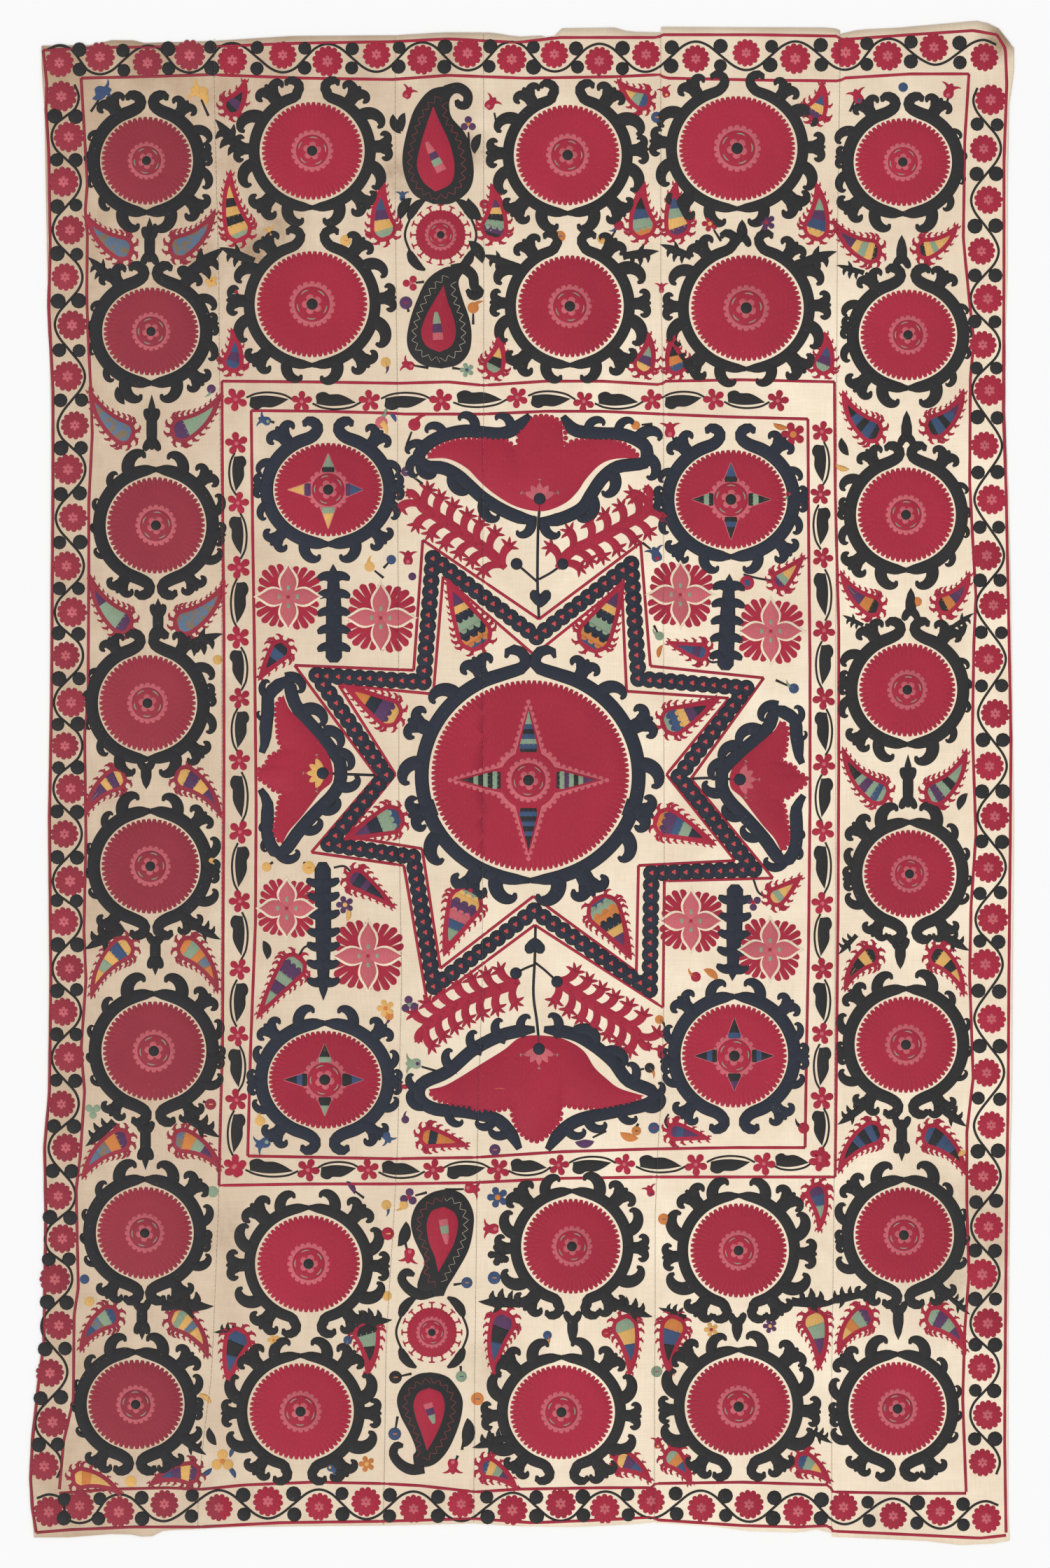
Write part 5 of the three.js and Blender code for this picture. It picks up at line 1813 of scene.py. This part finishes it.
BLACK = (38, 33, 32)
# Each silk: its colour, how much of it is worn to specks, and what else sets it apart.
SILKS = {
    "crimson": ((170, 39, 62), 0.3, {"faded": (150, 52, 65)}),
    "rose": ((200, 100, 108), 0.3, {}),
    "coral": ((206, 78, 76), 0.1, {}),
    "ink": ((44, 43, 44), 0.4, {"edge": BLACK}),
    "night": ((42, 47, 59), 0.35, {"edge": BLACK}),
    "soot": ((41, 41, 43), 0.5, {"edge": BLACK}),
    "green": ((140, 160, 134), 0.3, {}),
    "gold": ((224, 174, 100), 0.2, {}),
    "orange": ((208, 128, 66), 0.2, {}),
    "blue": ((62, 82, 116), 0.25, {}),
    "violet": ((88, 56, 92), 0.25, {}),
    "dusk": ((96, 116, 140), 0.2, {"mottle": (128, 110, 88)}),
    "cream": ((240, 224, 196), 0.0, {}),
}


# ---- The whole cloth ----


INK_OF_ZONE = {"star": "night", "left_column": "soot"}
SLOT_OF = {"dusk": "silk_blue"}


class Zone(dict):
    """The silks of one part of the design, each made when it is first asked for."""

    def __init__(self, name):
        super().__init__()
        self.name = name

    def __missing__(self, hue):
        self[hue] = Silk(f"{self.name}_{hue}", SLOT_OF.get(hue, f"silk_{hue}"))
        return self[hue]


def embroider():
    """Every zone of the design, worked in silk."""
    zones = [Zone(name) for name in (
        "discs", "collars", "left_column", "right_column", "field", "star", "border", "narrow_strip")]
    discs, collars, left, right, field, star_zone, edge, narrow = zones
    all_rows = LEFT_ROSETTES + RIGHT_ROSETTES + FIELD_ROSETTES + STAR_ROSETTES
    rosette_discs(discs["crimson"], all_rows)
    rosette_hearts(discs, all_rows)
    compasses(discs)
    for rows, silks, buds, mouth, thick, hemmed in (
        (LEFT_ROSETTES, left, COLUMN_BUDS, 9, 9.4, -1), (RIGHT_ROSETTES, right, COLUMN_BUDS, 9, 9.0, 1),
        (FIELD_ROSETTES, collars, FULL_BUDS, 17, 8.2, 0), (STAR_ROSETTES, star_zone, STAR_BUDS, 14, 9.6, 0),
    ):
        for row in rows:
            collar(silks["ink"], row, buds, mouth, thick, hemmed=hemmed)
    sprays(left, collars, right)
    heart = (*HEART, UP)
    rosette_discs(discs["crimson"], [heart], tooth_depth=6.0)
    heart_star(discs)
    rosette_hearts(discs, [(*HEART_MIDDLE, *HEART[2:])], share=0.54, lift=2)
    collar(star_zone["ink"], heart, HEART_BUDS, 6, 10.2, open_end=167.0, big=1.5, gap=13.5)
    for table, silks, bend in ((LEFT_BOTEHS, left, 0.3), (RIGHT_BOTEHS, right, 0.3),
                               (FIELD_BOTEHS, field, 0.2), (STAR_BOTEHS, star_zone, 0.05)):
        for base_u, base_v, tip_u, tip_v, half, colours in table:
            boteh(silks, (base_u, base_v), (tip_u, tip_v), half, colours, bend)
    for u, tip, foot in SPEARS:
        spear(zone_at(u, left, field, right)["ink"], u, tip, foot)
    star(star_zone)
    quatrefoils(star_zone)
    for shape, axis in ((TOP_BELL, 0), (BOTTOM_BELL, 0), (LEFT_BELL, 1), (mirrored_bell(), 1)):
        bell(star_zone, shape, axis)
    bell_stems(star_zone)
    coral_branches(star_zone["crimson"])
    cypresses(star_zone["ink"])
    for shape in PAISLEYS:
        paisley(narrow, shape)
    small_rosettes(narrow)
    fillers(field)
    patches(field)
    border(edge)
    frame_flowers(edge)
    guard_lines(edge["crimson"])
    return zones


CAMERA_HEIGHT = 6.0
SENSOR = 36.0
VIEW_WIDTH, VIEW_HEIGHT = 1500, 2241  # what the camera takes in on the grid


def light_and_camera():
    """A white studio, one soft lamp from above and a camera that looks straight down."""
    scene = bpy.context.scene
    scene.view_settings.view_transform = "Standard"
    world = bpy.data.worlds.new("studio")
    scene.world = world
    world.use_nodes = True
    sky = world.node_tree.nodes["Background"]
    sky.inputs["Color"].default_value = (1.0, 1.0, 1.0, 1.0)
    sky.inputs["Strength"].default_value = 0.78
    lamp = bpy.data.lights.new("key", "SUN")
    lamp.energy = 0.95
    lamp.angle = 0.35
    key = bpy.data.objects.new("key", lamp)
    key.rotation_euler = (np.radians(32), np.radians(-28), 0)
    scene.collection.objects.link(key)
    lens = bpy.data.cameras.new("camera")
    lens.sensor_width = SENSOR
    lens.lens = SENSOR * CAMERA_HEIGHT / (VIEW_HEIGHT * GRID)
    eye = bpy.data.objects.new("camera", lens)
    eye.location = (float(to_x(VIEW_WIDTH / 2)), float(to_y(VIEW_HEIGHT / 2)), CAMERA_HEIGHT)
    scene.collection.objects.link(eye)
    scene.camera = eye


FLOOR_REACH, FLOOR_DEPTH = 9, -0.0001


def floor():
    """A plain pale floor under the cloth."""
    tree = Tree("floor_paint")
    pairs = (("Base Color", (0.95, 0.95, 0.95, 1.0)), ("Roughness", 0.95), ("Specular IOR Level", 0.0))
    tree.set(tree.surface, pairs)
    mesh = bpy.data.meshes.new("floor")
    signs = ((-1, -1), (1, -1), (1, 1), (-1, 1))
    corners = [(x * FLOOR_REACH, y * FLOOR_REACH, FLOOR_DEPTH) for x, y in signs]
    mesh.from_pydata(corners, [], [(0, 1, 2, 3)])
    ground = linked("floor", mesh, tree.material, smooth=False)


floor()
cotton = cotton_material("cotton")
silk_set = {name: silk_material(name, hue, specks, **more) for name, (hue, specks, more) in SILKS.items()}
for number in range(6):
    strip_sheet(number, cotton)
for zone in embroider():
    for hue, silk in zone.items():
        silk.build(silk_set[INK_OF_ZONE.get(zone.name, "ink") if hue == "ink" else hue])
thread = Silk("seam_thread", "silk_cream")
seam_thread(thread)
thread.build(silk_set["cream"], cut=False)
light_and_camera()
